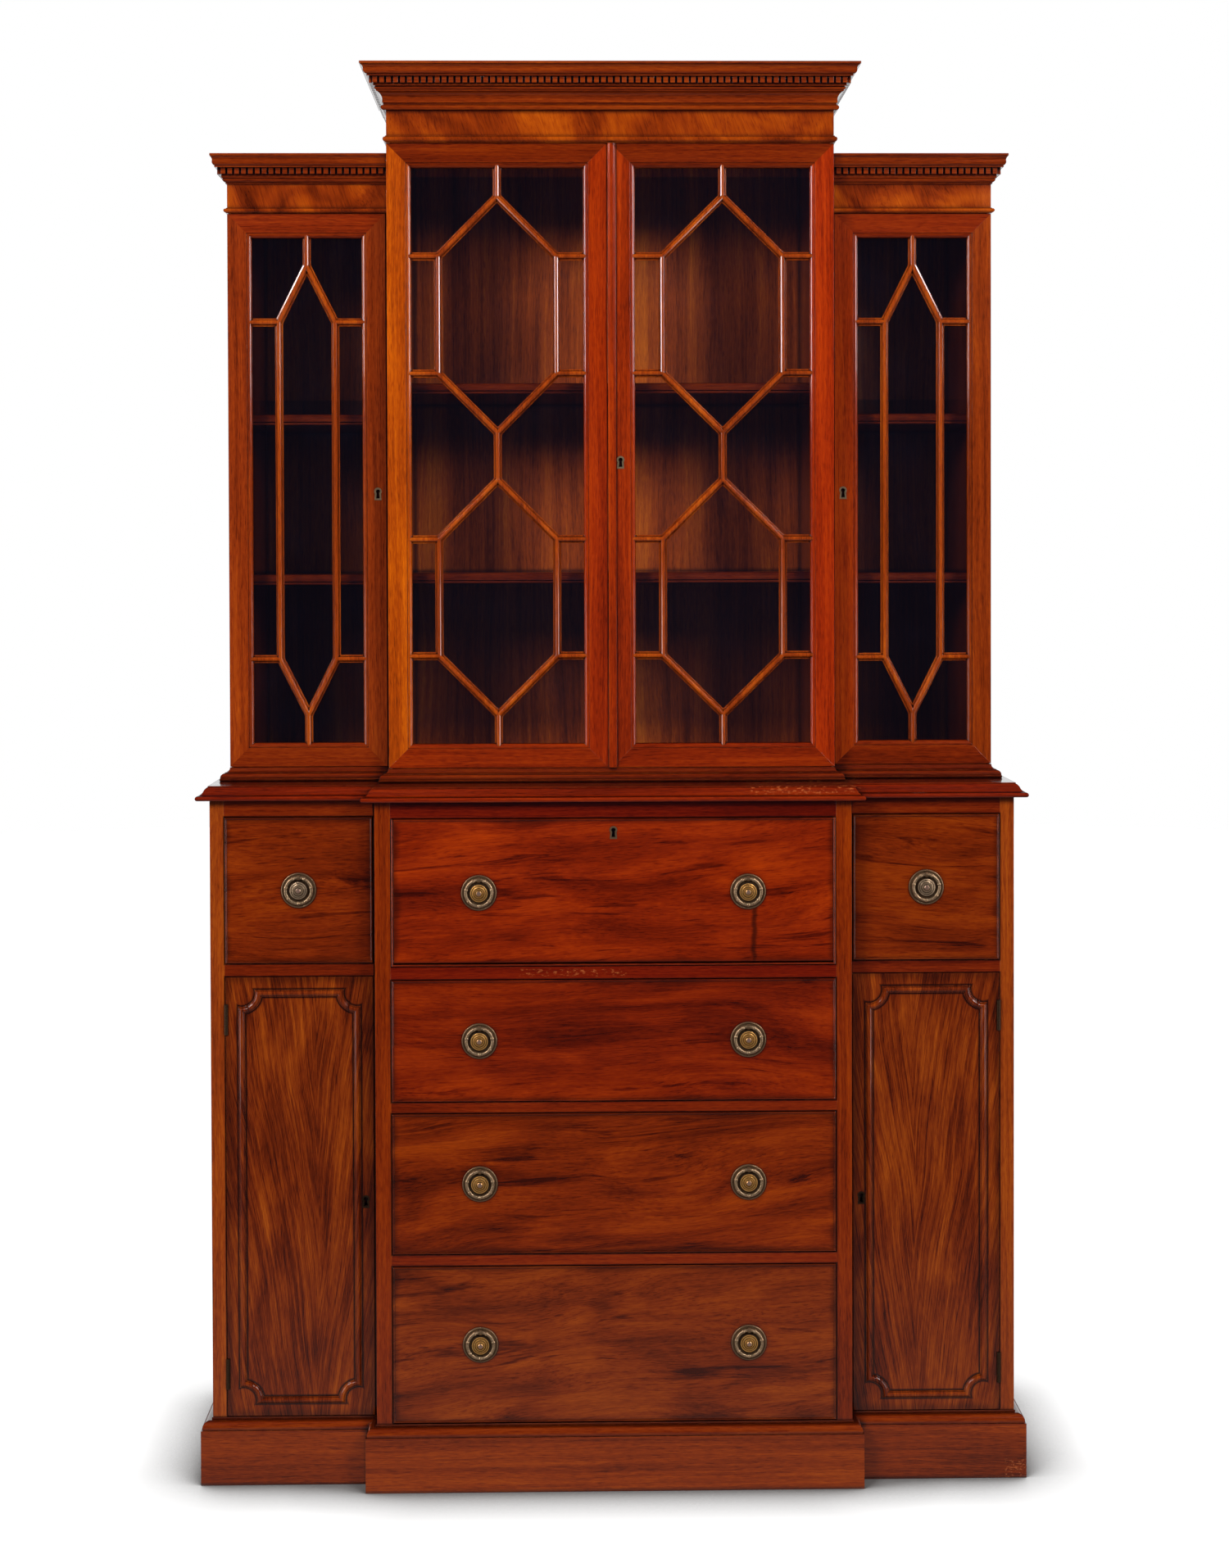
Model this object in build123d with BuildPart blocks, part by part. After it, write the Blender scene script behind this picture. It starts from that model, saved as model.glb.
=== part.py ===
from build123d import *
import os
from math import cos, degrees, floor, hypot, pi, radians, sin, sqrt

# Breakfront bookcase. X runs across, the front faces -Y, +Z is up.
# The origin is on the floor, in the middle of the width and of the depth.

# Lower case, across and in depth
lower_width = 1195.0
lower_centre_width = 702.0
lower_depth = 440.0
break_step = 38.0
side_thickness = 21.0
partition_thickness = 23.0
lining_thickness = 5.0
lining_recess = 3.0
back_thickness = 9.0

# Lower case, from the floor up
plinth_height = 78.0
plinth_projection = 16.0
plinth_thickness = 22.0
plinth_cap_height = 19.0
bottom_opening = 233.5
bottom_rail = 16.5
third_opening = 209.5
third_rail = 16.0
second_opening = 181.0
second_rail = 18.5
top_opening = 219.0
top_rail = 25.0
top_rail_depth = 60.0
waist_thickness = 21.0
waist_projection = 19.0

# Upper case
upper_side_set_in = 19.0
upper_centre_set_in = 15.5
upper_set_back = 88.0
upper_side_thickness = 20.0
upper_base_height = 20.0
upper_base_projection = 14.5
upper_top_thickness = 16.0
closing_stile_width = 18.0
closing_stile_depth = 20.0
centre_door_opening = 938.0
wing_door_opening = 838.0
centre_astragal_height = 10.5
wing_astragal_height = 8.0
astragal_projection = 5.0
centre_frieze_height = 38.0
wing_frieze_height = 36.0

# Cornices
crown_height = 20.0
centre_crown_projection = 37.0
wing_crown_projection = 23.0
dentil_height = 11.0
dentil_depth = 6.0
dentil_pitch = 10.3
dentil_width = 6.9
dentil_drop = 9.6
dentil_setback = 3.0
centre_bed_height = 35.5
wing_bed_height = 12.0

# Shelves
shelf_thickness = 16.0
shelf_nosing = 8.0
shelf_setback = 30.0
centre_shelf_rises = (294.0, 582.5)
wing_shelf_rises = (292.0, 537.5)

# Doors
door_thickness = 22.0
door_gap = 1.0
case_gap = 0.6
door_member_width = 36.0
sight_moulding_width = 7.5
sight_quirk = 1.0
sight_moulding_drop = 6.5
glass_level = 9.0
glass_thickness = 3.0
rebate_width = 6.0
wing_door_inset = 5.0
meeting_gap = 0.9
cover_strip_width = 12.0
cover_strip_edge = 5.0
cover_strip_offset = 4.5
cover_strip_proud = 4.5
door_pin_radius = 1.5
door_pin_fit = 0.08
door_pin_inset = 3.2
door_pin_depth = 4.0
door_pin_bite = 12.0
door_pin_reach = 7.0
door_socket_wall = 1.0
door_socket_end_gap = 0.5
bar_width = 12.0
bar_height = 7.8
end_bar_length = 43.0
link_bar_length = 71.0
wing_end_bar_length = 42.0
centre_figure_share = 0.687
wing_figure_share = 0.513
centre_point_rise = 89.0
wing_point_rise = 85.0

# Cupboard doors
panel_moulding_margin = 18.5
panel_moulding_width = 10.5
panel_moulding_height = 5.0
panel_moulding_corner = 25.0
closing_bevel = 1.2

# Drawers
drawer_front_thickness = 20.0
drawer_gap = 1.0
cock_bead = 3.2
cock_bead_proud = 1.5
drawer_side_thickness = 9.0
drawer_side_gap = 1.5
drawer_run_gap = 0.3
drawer_head_gap = 12.0
drawer_rear_gap = 12.0
drawer_bottom_thickness = 5.0
drawer_bottom_rise = 8.0

# Secretaire drawer: its front falls forward on two pins
fall_pivot_inset = 4.0
fall_gap = 0.5
fall_end_gap = 0.6
fall_pin_radius = 1.5
fall_pin_fit = 0.08
fall_pin_bite = 8.0
fall_pin_reach = 2.4
stay_radius = 150.0
stay_width = 10.0
stay_thickness = 1.5
stay_gap = 0.5
stay_palm_width = 14.0
stay_palm_height = 24.0
stay_end_angle = 10.0

# Butt hinges of the cupboard doors
hinge_length = 45.0
hinge_leaf_width = 14.0
hinge_leaf_thickness = 1.2
hinge_leaf_gap = 0.1
hinge_barrel_radius = 2.75
hinge_clearance = 0.3
hinge_pin_radius = 1.2
hinge_pin_fit = 0.08
hinge_barrel_gap = 0.2
hinge_inset = 64.0
hinge_barrel_inset = 1.85
hinge_barrel_proud = 0.6

# Ring pulls
pull_plate_radius = 26.0
pull_plate_thickness = 1.4
pull_rim_width = 2.6
pull_rim_height = 2.6
pull_boss_radius = 14.4
pull_boss_height = 10.5
ring_radius = 19.2
ring_wire_radius = 2.3
ring_bead_radius = 3.0
ring_bead_count = 7
ring_gap = 0.3
ring_lug_clearance = 0.35
ring_lug_wall = 1.2
ring_lug_width = 4.0
centre_pull_spacing = 396.0

# Keyholes and their brass linings
keyhole_radius = 3.1
keyhole_slot_top = 3.4
keyhole_slot_foot = 5.4
keyhole_drop = 10.6
keyhole_depth = 14.0
escutcheon_wall = 2.6
escutcheon_depth = 3.0
escutcheon_proud = 0.2
drawer_key_drop = 21.7
centre_door_key_rise = 459.5
wing_door_key_rise = 414.0
cupboard_key_rise = 320.0
centre_door_key_offset = 18.5
wing_door_key_offset = 12.5
cupboard_key_offset = 12.0

# Levels, each one standing on the one before
bottom_drawer_foot = plinth_height + plinth_cap_height
bottom_drawer_head = bottom_drawer_foot + bottom_opening
third_drawer_foot = bottom_drawer_head + bottom_rail
third_drawer_head = third_drawer_foot + third_opening
second_drawer_foot = third_drawer_head + third_rail
second_drawer_head = second_drawer_foot + second_opening
top_drawer_foot = second_drawer_head + second_rail
top_drawer_head = top_drawer_foot + top_opening
lower_case_head = top_drawer_head + top_rail
ledge = lower_case_head + waist_thickness
upper_floor = ledge + upper_base_height
centre_door_head = upper_floor + centre_door_opening
centre_cornice_foot = centre_door_head + centre_astragal_height + centre_frieze_height
centre_head = centre_cornice_foot + centre_bed_height + dentil_height + crown_height
wing_door_head = upper_floor + wing_door_opening
wing_cornice_foot = wing_door_head + wing_astragal_height + wing_frieze_height
wing_head = wing_cornice_foot + wing_bed_height + dentil_height + crown_height
centre_shelf_levels = [upper_floor + rise for rise in centre_shelf_rises]
wing_shelf_levels = [upper_floor + rise for rise in wing_shelf_rises]
centre_door_key_height = upper_floor + centre_door_key_rise
wing_door_key_height = upper_floor + wing_door_key_rise
cupboard_key_height = bottom_drawer_foot + cupboard_key_rise

# Planes in depth
rear = (lower_depth + waist_projection) / 2
lower_front = rear - lower_depth
lower_wing_front = lower_front + break_step
upper_front = lower_front + upper_set_back
upper_wing_front = upper_front + break_step
back_face = rear - back_thickness
frieze_thickness = door_thickness + case_gap
centre_case_front = upper_front + frieze_thickness
wing_case_front = upper_wing_front + frieze_thickness

# Planes across, measured from the middle
lower_edge = lower_width / 2
lower_break = lower_centre_width / 2
lower_side_inner = lower_edge - side_thickness
centre_bay = lower_break - partition_thickness
wing_bay = lower_break + lining_thickness
upper_edge = lower_edge - upper_side_set_in
upper_break = lower_break - upper_centre_set_in
upper_side_inner = upper_edge - upper_side_thickness
upper_bay = upper_break - upper_side_thickness
wing_door_inner = upper_break + wing_door_inset
meeting_line = -cover_strip_offset
cover_strip_right = meeting_line + cover_strip_width
right_door_frame_start = meeting_line + cover_strip_edge

up = Vector(0, 0, 1)
forward = Vector(0, -1, 0)

# Sections of the mouldings, as shares of projection and height from the inner foot.
# A step of four numbers is an arc: its middle, then its end.
plinth_cap_shares = [
    (0, 0), (1, 0), (1, 0.15), (0.88, 0.15), (0.88, 0.24),
    (0.72, 0.68, 0.24, 0.84), (0.1, 0.84), (0.1, 1), (0, 1),
]
waist_shares = [
    (0, 0), (0.87, 0), (1, 0.16, 0.87, 0.33), (0.62, 0.42, 0.44, 0.6),
    (0.31, 0.8, 0.12, 0.93), (0.12, 1), (0, 1),
]
upper_base_shares = [
    (0, 0), (0.93, 0), (1, 0.06), (1, 0.16), (0.93, 0.2), (0.84, 0.46, 0.56, 0.58), (0.5, 0.58),
    (0.5, 0.64), (0.4, 0.64), (0.14, 0.76, 0.04, 1), (0, 1),
]
astragal_shares = [(0, 0), (0.3, 0), (0.3, 0.14), (1, 0.5, 0.3, 0.86), (0.3, 1), (0, 1)]
crown_shares = [
    (0, 0), (0.72, 0), (0.72, 0.15), (0.76, 0.15), (0.83, 0.24, 0.86, 0.46),
    (0.89, 0.68, 0.96, 0.78), (0.96, 0.82), (1, 0.82), (1, 1), (0, 1),
]
centre_bed_shares = [
    (0, 0), (0.12, 0), (0.42, 0.1, 0.22, 0.2), (0.22, 0.29), (0.3, 0.29), (0.3, 0.38),
    (0.4, 0.61, 0.72, 0.74), (0.78, 0.74), (0.78, 0.8), (0.92, 0.87, 0.8, 0.94), (1, 0.94), (1, 1), (0, 1),
]
wing_bed_shares = [
    (0, 0), (0.25, 0), (0.25, 0.2), (0.62, 0.3, 0.75, 0.66), (0.9, 0.66), (1, 0.8), (1, 1), (0, 1),
]
nosing_shares = [
    (0, 0), (0.6, 0), (0.95, 0.12, 0.6, 0.24), (0.45, 0.27), (0.95, 0.3), (0.86, 0.74, 0.3, 1), (0, 1),
]
panel_moulding_shares = [(-0.5, 0), (0.5, 0), (0.5, 0.3), (0.36, 0.36), (0, 1, -0.36, 0.36), (-0.5, 0.3)]
glazing_bar_shares = [
    (-0.5, 0), (0.5, 0), (0.5, 0.24), (0.3, 0.3), (0.3, 0.55), (0.22, 0.84), (0.1, 0.97),
    (-0.1, 0.97), (-0.22, 0.84), (-0.3, 0.55), (-0.3, 0.3), (-0.5, 0.24),
]
pull_boss_shares = [
    (1, 0.45), (0.94, 0.56), (0.78, 0.64), (0.72, 0.58), (0.5, 0.7),
    (0.44, 0.86), (0.3, 0.84), (0.2, 0.97), (0, 1),
]


def finish(piece, name):
    """Label one sub-part and write it."""
    piece.label = name
    export_step(piece, f"parts/{name}.step")


def finish_group(solids, name):
    """Write pieces that touch, such as mitred lengths, as separate solids of one sub-part."""
    finish(Compound(solids), name)


def span(low, high):
    """The middle and the length of a stretch, for either order of its ends."""
    return (low + high) / 2, abs(high - low)


def board(x, y, z):
    """A rectangular board between two values on each axis."""
    middles, lengths = zip(*(span(*ends) for ends in (x, y, z)))
    with BuildPart() as piece:
        with Locations(middles):
            Box(*lengths)
    return piece.part.solid()


def outline(shares, projection, height):
    """A closed section from shares of its projection and height."""
    with BuildSketch() as section:
        with BuildLine():
            first = (shares[0][0] * projection, shares[0][1] * height)
            here = first
            for entry in shares[1:]:
                there = (entry[-2] * projection, entry[-1] * height)
                if len(entry) == 4:
                    ThreePointArc(here, (entry[0] * projection, entry[1] * height), there)
                else:
                    Line(here, there)
                here = there
            Line(here, first)
        make_face()
    return section.sketch


def mitred_lengths(section, path, normal, reach, closed=False):
    """Straight lengths of one section round a path, mitred where they meet."""
    points = [Vector(*point) for point in path]
    count = len(points)
    legs = count if closed else count - 1
    headings = [(points[(leg + 1) % count] - points[leg]).normalized() for leg in range(legs)]
    lengths = []
    for leg, heading in enumerate(headings):
        start, end = points[leg], points[(leg + 1) % count]
        mitre_start = closed or leg > 0
        mitre_end = closed or leg < legs - 1
        lead = reach if mitre_start else 0
        tail = reach if mitre_end else 0
        before, after = headings[leg - 1], headings[(leg + 1) % legs]
        face = Plane(origin=start - heading * lead, x_dir=normal.cross(heading), z_dir=heading)
        with BuildPart() as length:
            with BuildSketch(face):
                add(section)
            extrude(amount=(end - start).length + lead + tail)
            if mitre_start:
                split(bisect_by=Plane(origin=start, z_dir=before + heading), keep=Keep.TOP)
            if mitre_end:
                split(bisect_by=Plane(origin=end, z_dir=heading + after), keep=Keep.BOTTOM)
        lengths.append(length.part.solid())
    return lengths


def breakfront_path(edge, break_edge, wing_front, centre_front, level):
    """The face of the case in plan, from the right rear corner round the front to the left rear corner."""
    right = [(edge, rear), (edge, wing_front), (break_edge, wing_front), (break_edge, centre_front)]
    left = [(-x, y) for x, y in reversed(right)]
    return [(x, y, level) for x, y in right + left]


def centre_path(level):
    """The upper centre in plan, from rear to rear."""
    right = [(upper_break, rear, level), (upper_break, upper_front, level)]
    return right + [(-x, y, z) for x, y, z in reversed(right)]


def wing_paths(level):
    """Each upper wing in plan, from its rear corner to just short of the centre doors' edges."""
    inner = upper_break + case_gap
    corners = [(upper_edge, rear), (upper_edge, upper_wing_front), (inner, upper_wing_front)]
    right = [(x, y, level) for x, y in corners]
    left = [(-x, y, z) for x, y, z in reversed(right)]
    return right, left


def lower_path(level):
    return breakfront_path(lower_edge, lower_break, lower_wing_front, lower_front, level)


def upper_path(level):
    return breakfront_path(upper_edge, upper_break, upper_wing_front, upper_front, level)


# Solids that the hinges, doors and drawers share


def barrel(x, y, radius, low, high):
    """An upright round bar between two heights."""
    with BuildPart() as bar:
        with BuildSketch(Plane.XY.offset(low)):
            with Locations((x, y)):
                Circle(radius)
        extrude(amount=high - low)
    return bar.part.solid()


def cross_bar(x, y, z, radius):
    """A level round bar between two places across."""
    with BuildPart() as bar:
        with BuildSketch(Plane.YZ.offset(min(x))):
            with Locations((y, z)):
                Circle(radius)
        extrude(amount=max(x) - min(x))
    return bar.part.solid()


def joined(first, *others):
    """Solids fused to one."""
    with BuildPart() as whole:
        add(first)
        for other in others:
            add(other)
    return whole.part.solid()


def cut_away(body, *cutters):
    """A solid with others taken out of it; crumbs left beside it are dropped."""
    with BuildPart() as rest:
        add(body)
        for cutter in cutters:
            add(cutter, mode=Mode.SUBTRACT)
    return rest.part.solids().sort_by(SortBy.VOLUME)[-1]


# Pin hinges of the glazed doors: a pin in the top and bottom edge turns in a brass socket of the case.
# A pin is (x, y, level of the case's edge, way into the door up or down).


def door_pins(x, y, foot, head):
    return [(x, y, foot, 1), (x, y, head, -1)]


def centre_pins(hand):
    return door_pins(
        hand * (upper_break - door_pin_inset), upper_front + door_pin_depth, upper_floor, centre_door_head
    )


def wing_pins(hand):
    return door_pins(
        hand * (upper_edge - door_pin_inset), upper_wing_front + door_pin_depth, upper_floor, wing_door_head
    )


def upright_bar(pin, radius, back, ahead):
    """A bar on a pin's line, from behind the case's edge to ahead of it, towards the door."""
    x, y, level, way = pin
    ends = sorted((level - way * back, level + way * ahead))
    return barrel(x, y, radius, *ends)


def door_pin(pin):
    return upright_bar(pin, door_pin_radius, door_pin_reach, door_gap + door_pin_bite)


def socket_room(pin):
    outer = door_pin_radius + door_pin_fit + door_socket_wall
    return upright_bar(pin, outer, door_pin_reach + door_socket_end_gap, 0)


def door_socket(pin):
    bore = upright_bar(pin, door_pin_radius + door_pin_fit, door_pin_reach + door_socket_end_gap, 0)
    return cut_away(socket_room(pin), bore)


def cut_for_sockets(piece, pins):
    return cut_away(piece, *(socket_room(pin) for pin in pins))


# Butt hinges of the cupboard doors. A place is (x, y) of the barrel and the height of its middle.


def hinge_places(hand):
    x = hand * (lower_side_inner - hinge_barrel_inset)
    y = lower_wing_front - hinge_barrel_proud
    return [(x, y, bottom_drawer_foot + hinge_inset), (x, y, second_drawer_head - hinge_inset)]


def hinge_span(height):
    return height - hinge_length / 2, height + hinge_length / 2


def hinge_leaves(hand, place):
    """Flat leaves along the edge of the case's side and along the edge of the door."""
    _, y, height = place
    middle = hand * (lower_side_inner - door_gap / 2)
    leaves = []
    for side in (hand, -hand):
        near = middle + side * hinge_leaf_gap
        thick = (near, near + side * hinge_leaf_thickness)
        leaves.append(board(thick, (y, y + hinge_leaf_width), hinge_span(height)))
    return leaves


def butt_hinge(hand, place):
    """The case's half, with two knuckles and the pin, and the door's half, with the middle knuckle."""
    x, y, height = place
    low, high = hinge_span(height)
    third = hinge_length / 3
    lower_end, upper_start = low + third, high - third
    room = hinge_barrel_radius + hinge_clearance
    case_low, case_high = lower_end - hinge_barrel_gap, upper_start + hinge_barrel_gap
    case_leaf, door_leaf = hinge_leaves(hand, place)
    case_half = joined(
        cut_away(case_leaf, barrel(x, y, room, case_low, case_high)),
        barrel(x, y, hinge_barrel_radius, low, case_low),
        barrel(x, y, hinge_barrel_radius, case_high, high),
        barrel(x, y, hinge_pin_radius, low, high),
    )
    door_plate = cut_away(
        door_leaf, barrel(x, y, room, low, lower_end), barrel(x, y, room, upper_start, high)
    )
    door_half = cut_away(
        joined(door_plate, barrel(x, y, hinge_barrel_radius, lower_end, upper_start)),
        barrel(x, y, hinge_pin_radius + hinge_pin_fit, low, high),
    )
    return case_half, door_half


def cut_for_hinges(piece, hand):
    """Room for the knuckles, and shallow beds for the leaves."""
    for x, y, height in hinge_places(hand):
        low, high = hinge_span(height)
        room = barrel(
            x, y, hinge_barrel_radius + hinge_clearance, low - hinge_clearance, high + hinge_clearance
        )
        piece = cut_away(piece, room, *hinge_leaves(hand, (x, y, height)))
    return piece


def case_hinges():
    halves = []
    for hand in (-1, 1):
        halves += [door_socket(pin) for pin in centre_pins(hand) + wing_pins(hand)]
        halves += [butt_hinge(hand, place)[0] for place in hinge_places(hand)]
    finish_group(halves, "case_hinges")


# Plinth and lower case


def plinth():
    middle = plinth_projection - plinth_thickness / 2
    with BuildSketch() as section:
        with Locations((middle, plinth_height / 2)):
            Rectangle(plinth_thickness, plinth_height)
    finish_group(mitred_lengths(section.sketch, lower_path(0), up, plinth_projection), "plinth")


def plinth_moulding():
    section = outline(plinth_cap_shares, plinth_projection, plinth_cap_height)
    lengths = mitred_lengths(section, lower_path(plinth_height), up, plinth_projection)
    finish_group(lengths, "plinth_moulding")


def lower_uprights():
    tall = (plinth_height, lower_case_head)
    boards = []
    for hand in (-1, 1):
        side = board((hand * lower_side_inner, hand * lower_edge), (lower_wing_front, rear), tall)
        boards.append(cut_for_hinges(side, hand))
        boards.append(board((hand * centre_bay, hand * lower_break), (lower_front, back_face), tall))
        lining = (hand * lower_break, hand * wing_bay)
        boards.append(board(lining, (lower_wing_front + lining_recess, back_face), tall))
    finish_group(boards, "lower_uprights")


def lower_dividers():
    """Bottoms, dust boards behind each rail, and top rails."""
    centre = (-centre_bay, centre_bay)
    deep = (lower_front, back_face)
    boards = [
        board(centre, deep, (plinth_height, bottom_drawer_foot)),
        board(centre, deep, (bottom_drawer_head, third_drawer_foot)),
        board(centre, deep, (third_drawer_head, second_drawer_foot)),
        board(centre, deep, (second_drawer_head, top_drawer_foot)),
        board(centre, (lower_front, lower_front + top_rail_depth), (top_drawer_head, lower_case_head)),
    ]
    wing_deep = (lower_wing_front, back_face)
    wing_rail = (lower_wing_front, lower_wing_front + top_rail_depth)
    for hand in (-1, 1):
        wing = (hand * wing_bay, hand * lower_side_inner)
        boards.append(board(wing, wing_deep, (plinth_height, bottom_drawer_foot)))
        boards.append(board(wing, wing_deep, (second_drawer_head, top_drawer_foot)))
        boards.append(board(wing, wing_rail, (top_drawer_head, lower_case_head)))
    finish_group(boards, "lower_dividers")


def back_boards():
    """Three backs of the upper case and one of the lower case."""
    thick = (back_face, rear)
    boards = [
        board((-lower_side_inner, lower_side_inner), thick, (plinth_height, lower_case_head)),
        board((-upper_bay, upper_bay), thick, (upper_floor, centre_head)),
    ]
    for hand in (-1, 1):
        boards.append(board((hand * upper_break, hand * upper_side_inner), thick, (upper_floor, wing_head)))
    finish_group(boards, "back_boards")


def waist_top():
    tall = (lower_case_head, ledge)
    boards = [board((-lower_break, lower_break), (lower_front, rear), tall)]
    for hand in (-1, 1):
        boards.append(board((hand * lower_break, hand * lower_edge), (lower_wing_front, rear), tall))
    section = outline(waist_shares, waist_projection, waist_thickness)
    edge = mitred_lengths(section, lower_path(lower_case_head), up, waist_projection)
    finish_group(boards + edge, "waist_top")


# Upper case


def upper_base_moulding():
    section = outline(upper_base_shares, upper_base_projection, upper_base_height)
    lengths = mitred_lengths(section, upper_path(ledge), up, upper_base_projection)
    finish_group(lengths, "upper_base_moulding")


def upper_case_boards():
    """Bottoms, sides, partitions, tops and the stiles that the wing doors close on."""
    base = (ledge, upper_floor)
    centre_top = (centre_head - upper_top_thickness, centre_head)
    wing_top = (wing_head - upper_top_thickness, wing_head)
    centre_base = board((-upper_break, upper_break), (upper_front, rear), base)
    boards = [
        cut_for_sockets(centre_base, centre_pins(-1) + centre_pins(1)),
        board((-upper_bay, upper_bay), (centre_case_front, back_face), centre_top),
    ]
    for hand in (-1, 1):
        partition = (hand * upper_bay, hand * upper_break)
        boards.append(board(partition, (centre_case_front, rear), (upper_floor, centre_head)))
        side = (hand * upper_side_inner, hand * upper_edge)
        boards.append(board(side, (wing_case_front, rear), (upper_floor, wing_head)))
        closing_stile = (hand * upper_break, hand * (upper_break + closing_stile_width))
        closing_depth = (wing_case_front, wing_case_front + closing_stile_depth)
        boards.append(board(closing_stile, closing_depth, (upper_floor, wing_head - upper_top_thickness)))
        wing = (hand * upper_break, hand * upper_side_inner)
        boards.append(board(wing, (wing_case_front, back_face), wing_top))
        wing_base = board((hand * upper_break, hand * upper_edge), (upper_wing_front, rear), base)
        boards.append(cut_for_sockets(wing_base, wing_pins(hand)))
    finish_group(boards, "upper_case_boards")


def shelf(x, front, top):
    """A shelf board and the moulded nosing along its front edge."""
    foot = top - shelf_thickness
    line = front + shelf_nosing
    plank = board(x, (line, back_face), (foot, top))
    section = outline(nosing_shares, shelf_nosing, shelf_thickness)
    path = [(max(x), line, foot), (min(x), line, foot)]
    return [plank] + mitred_lengths(section, path, up, shelf_nosing)


def shelves():
    solids = []
    for level in centre_shelf_levels:
        solids += shelf((-upper_bay, upper_bay), centre_case_front + shelf_setback, level)
    for level in wing_shelf_levels:
        for hand in (-1, 1):
            bay = (hand * upper_break, hand * upper_side_inner)
            solids += shelf(bay, wing_case_front + shelf_setback, level)
    finish_group(solids, "shelves")


def friezes():
    """Frieze boards over the doors, and the small astragal at the foot of each."""
    front = (upper_front, centre_case_front)
    wing_front = (upper_wing_front, wing_case_front)
    centre_board = board((-upper_break, upper_break), front, (centre_door_head, centre_head))
    solids = [cut_for_sockets(centre_board, centre_pins(-1) + centre_pins(1))]
    for hand in (-1, 1):
        wing_board = board((hand * upper_break, hand * upper_edge), wing_front, (wing_door_head, wing_head))
        solids.append(cut_for_sockets(wing_board, wing_pins(hand)))
    centre_bead = outline(astragal_shares, astragal_projection, centre_astragal_height)
    wing_bead = outline(astragal_shares, astragal_projection, wing_astragal_height)
    solids += mitred_lengths(centre_bead, centre_path(centre_door_head), up, astragal_projection)
    for path in wing_paths(wing_door_head):
        solids += mitred_lengths(wing_bead, path, up, astragal_projection)
    finish_group(solids, "friezes")


def dentil_lengths(path, projection):
    """Dentil strips round a path: a backing strip with square teeth that hang from its top."""
    points = [Vector(*point) for point in path]
    headings = [(after - before).normalized() for before, after in zip(points, points[1:])]
    backing = projection - dentil_depth
    lengths = []
    for leg, heading in enumerate(headings):
        start, end = points[leg], points[leg + 1]
        mitre_start, mitre_end = leg > 0, leg < len(headings) - 1
        lead = projection if mitre_start else 0
        tail = projection if mitre_end else 0
        run = (end - start).length + lead + tail
        count = floor(run / dentil_pitch)
        face = Plane(origin=start - heading * lead, x_dir=heading, z_dir=up)
        with BuildPart() as length:
            with BuildSketch(face):
                with Locations((run / 2, backing / 2)):
                    Rectangle(run, backing)
            extrude(amount=dentil_height)
            with BuildSketch(face.offset(dentil_height - dentil_drop)):
                with Locations((run / 2, backing + dentil_depth / 2)):
                    with GridLocations(dentil_pitch, dentil_depth, count, 1):
                        Rectangle(dentil_width, dentil_depth)
            extrude(amount=dentil_drop)
            if mitre_start:
                split(bisect_by=Plane(origin=start, z_dir=headings[leg - 1] + heading), keep=Keep.TOP)
            if mitre_end:
                split(bisect_by=Plane(origin=end, z_dir=heading + headings[leg + 1]), keep=Keep.BOTTOM)
        lengths.append(length.part.solids().sort_by(SortBy.VOLUME)[-1])
    return lengths


def cornice(path_of, crown_projection, bed_shares, bed_height, foot):
    """Bed moulding, dentil strip and crown, one above the other."""
    soffit = crown_shares[1][0] * crown_projection
    dentil_projection = soffit - dentil_setback
    bed_projection = dentil_projection - dentil_depth
    dentil_foot = foot + bed_height
    bed = outline(bed_shares, bed_projection, bed_height)
    crown = outline(crown_shares, crown_projection, crown_height)
    solids = mitred_lengths(bed, path_of(foot), up, bed_projection)
    solids += dentil_lengths(path_of(dentil_foot), dentil_projection)
    solids += mitred_lengths(crown, path_of(dentil_foot + dentil_height), up, crown_projection)
    return solids


def cornices():
    solids = cornice(
        centre_path, centre_crown_projection, centre_bed_shares, centre_bed_height, centre_cornice_foot
    )
    for wing in (0, 1):
        solids += cornice(
            lambda level, wing=wing: wing_paths(level)[wing],
            wing_crown_projection,
            wing_bed_shares,
            wing_bed_height,
            wing_cornice_foot,
        )
    finish_group(solids, "cornices")


# Keyholes


def keyhole_sketch(grow):
    """A round hole over a slot that widens to its foot, in the plane of the front."""
    radius = keyhole_radius + grow
    foot = -keyhole_drop - grow
    top_half, foot_half = keyhole_slot_top / 2 + grow, keyhole_slot_foot / 2 + grow
    with BuildSketch() as hole:
        Circle(radius)
        with BuildLine():
            Polyline((-top_half, 0), (top_half, 0), (foot_half, foot), (-foot_half, foot), close=True)
        make_face()
    return hole.sketch


def keyhole_bar(x, face, z, grow, proud, depth):
    """A bar of keyhole section through a front; face is where the front's surface lies."""
    middle = z + (keyhole_drop - keyhole_radius) / 2
    with BuildPart() as bar:
        with BuildSketch(Plane(origin=(x, face - proud, middle), x_dir=(1, 0, 0), z_dir=(0, -1, 0))):
            add(keyhole_sketch(grow))
        extrude(amount=-(proud + depth))
    return bar.part.solid()


def escutcheon(x, face, z):
    lining = keyhole_bar(x, face, z, escutcheon_wall, escutcheon_proud, escutcheon_depth)
    return cut_away(lining, keyhole_bar(x, face, z, 0, escutcheon_proud, escutcheon_depth))


def cut_keyhole(piece, x, face, z):
    """Let the lining into a front, with a blind hole for the key behind it."""
    lining = keyhole_bar(x, face, z, escutcheon_wall, escutcheon_proud, escutcheon_depth)
    hole = keyhole_bar(x, face, z, 0, escutcheon_proud, keyhole_depth)
    return cut_away(piece, lining, hole)


# Glazed doors


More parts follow.
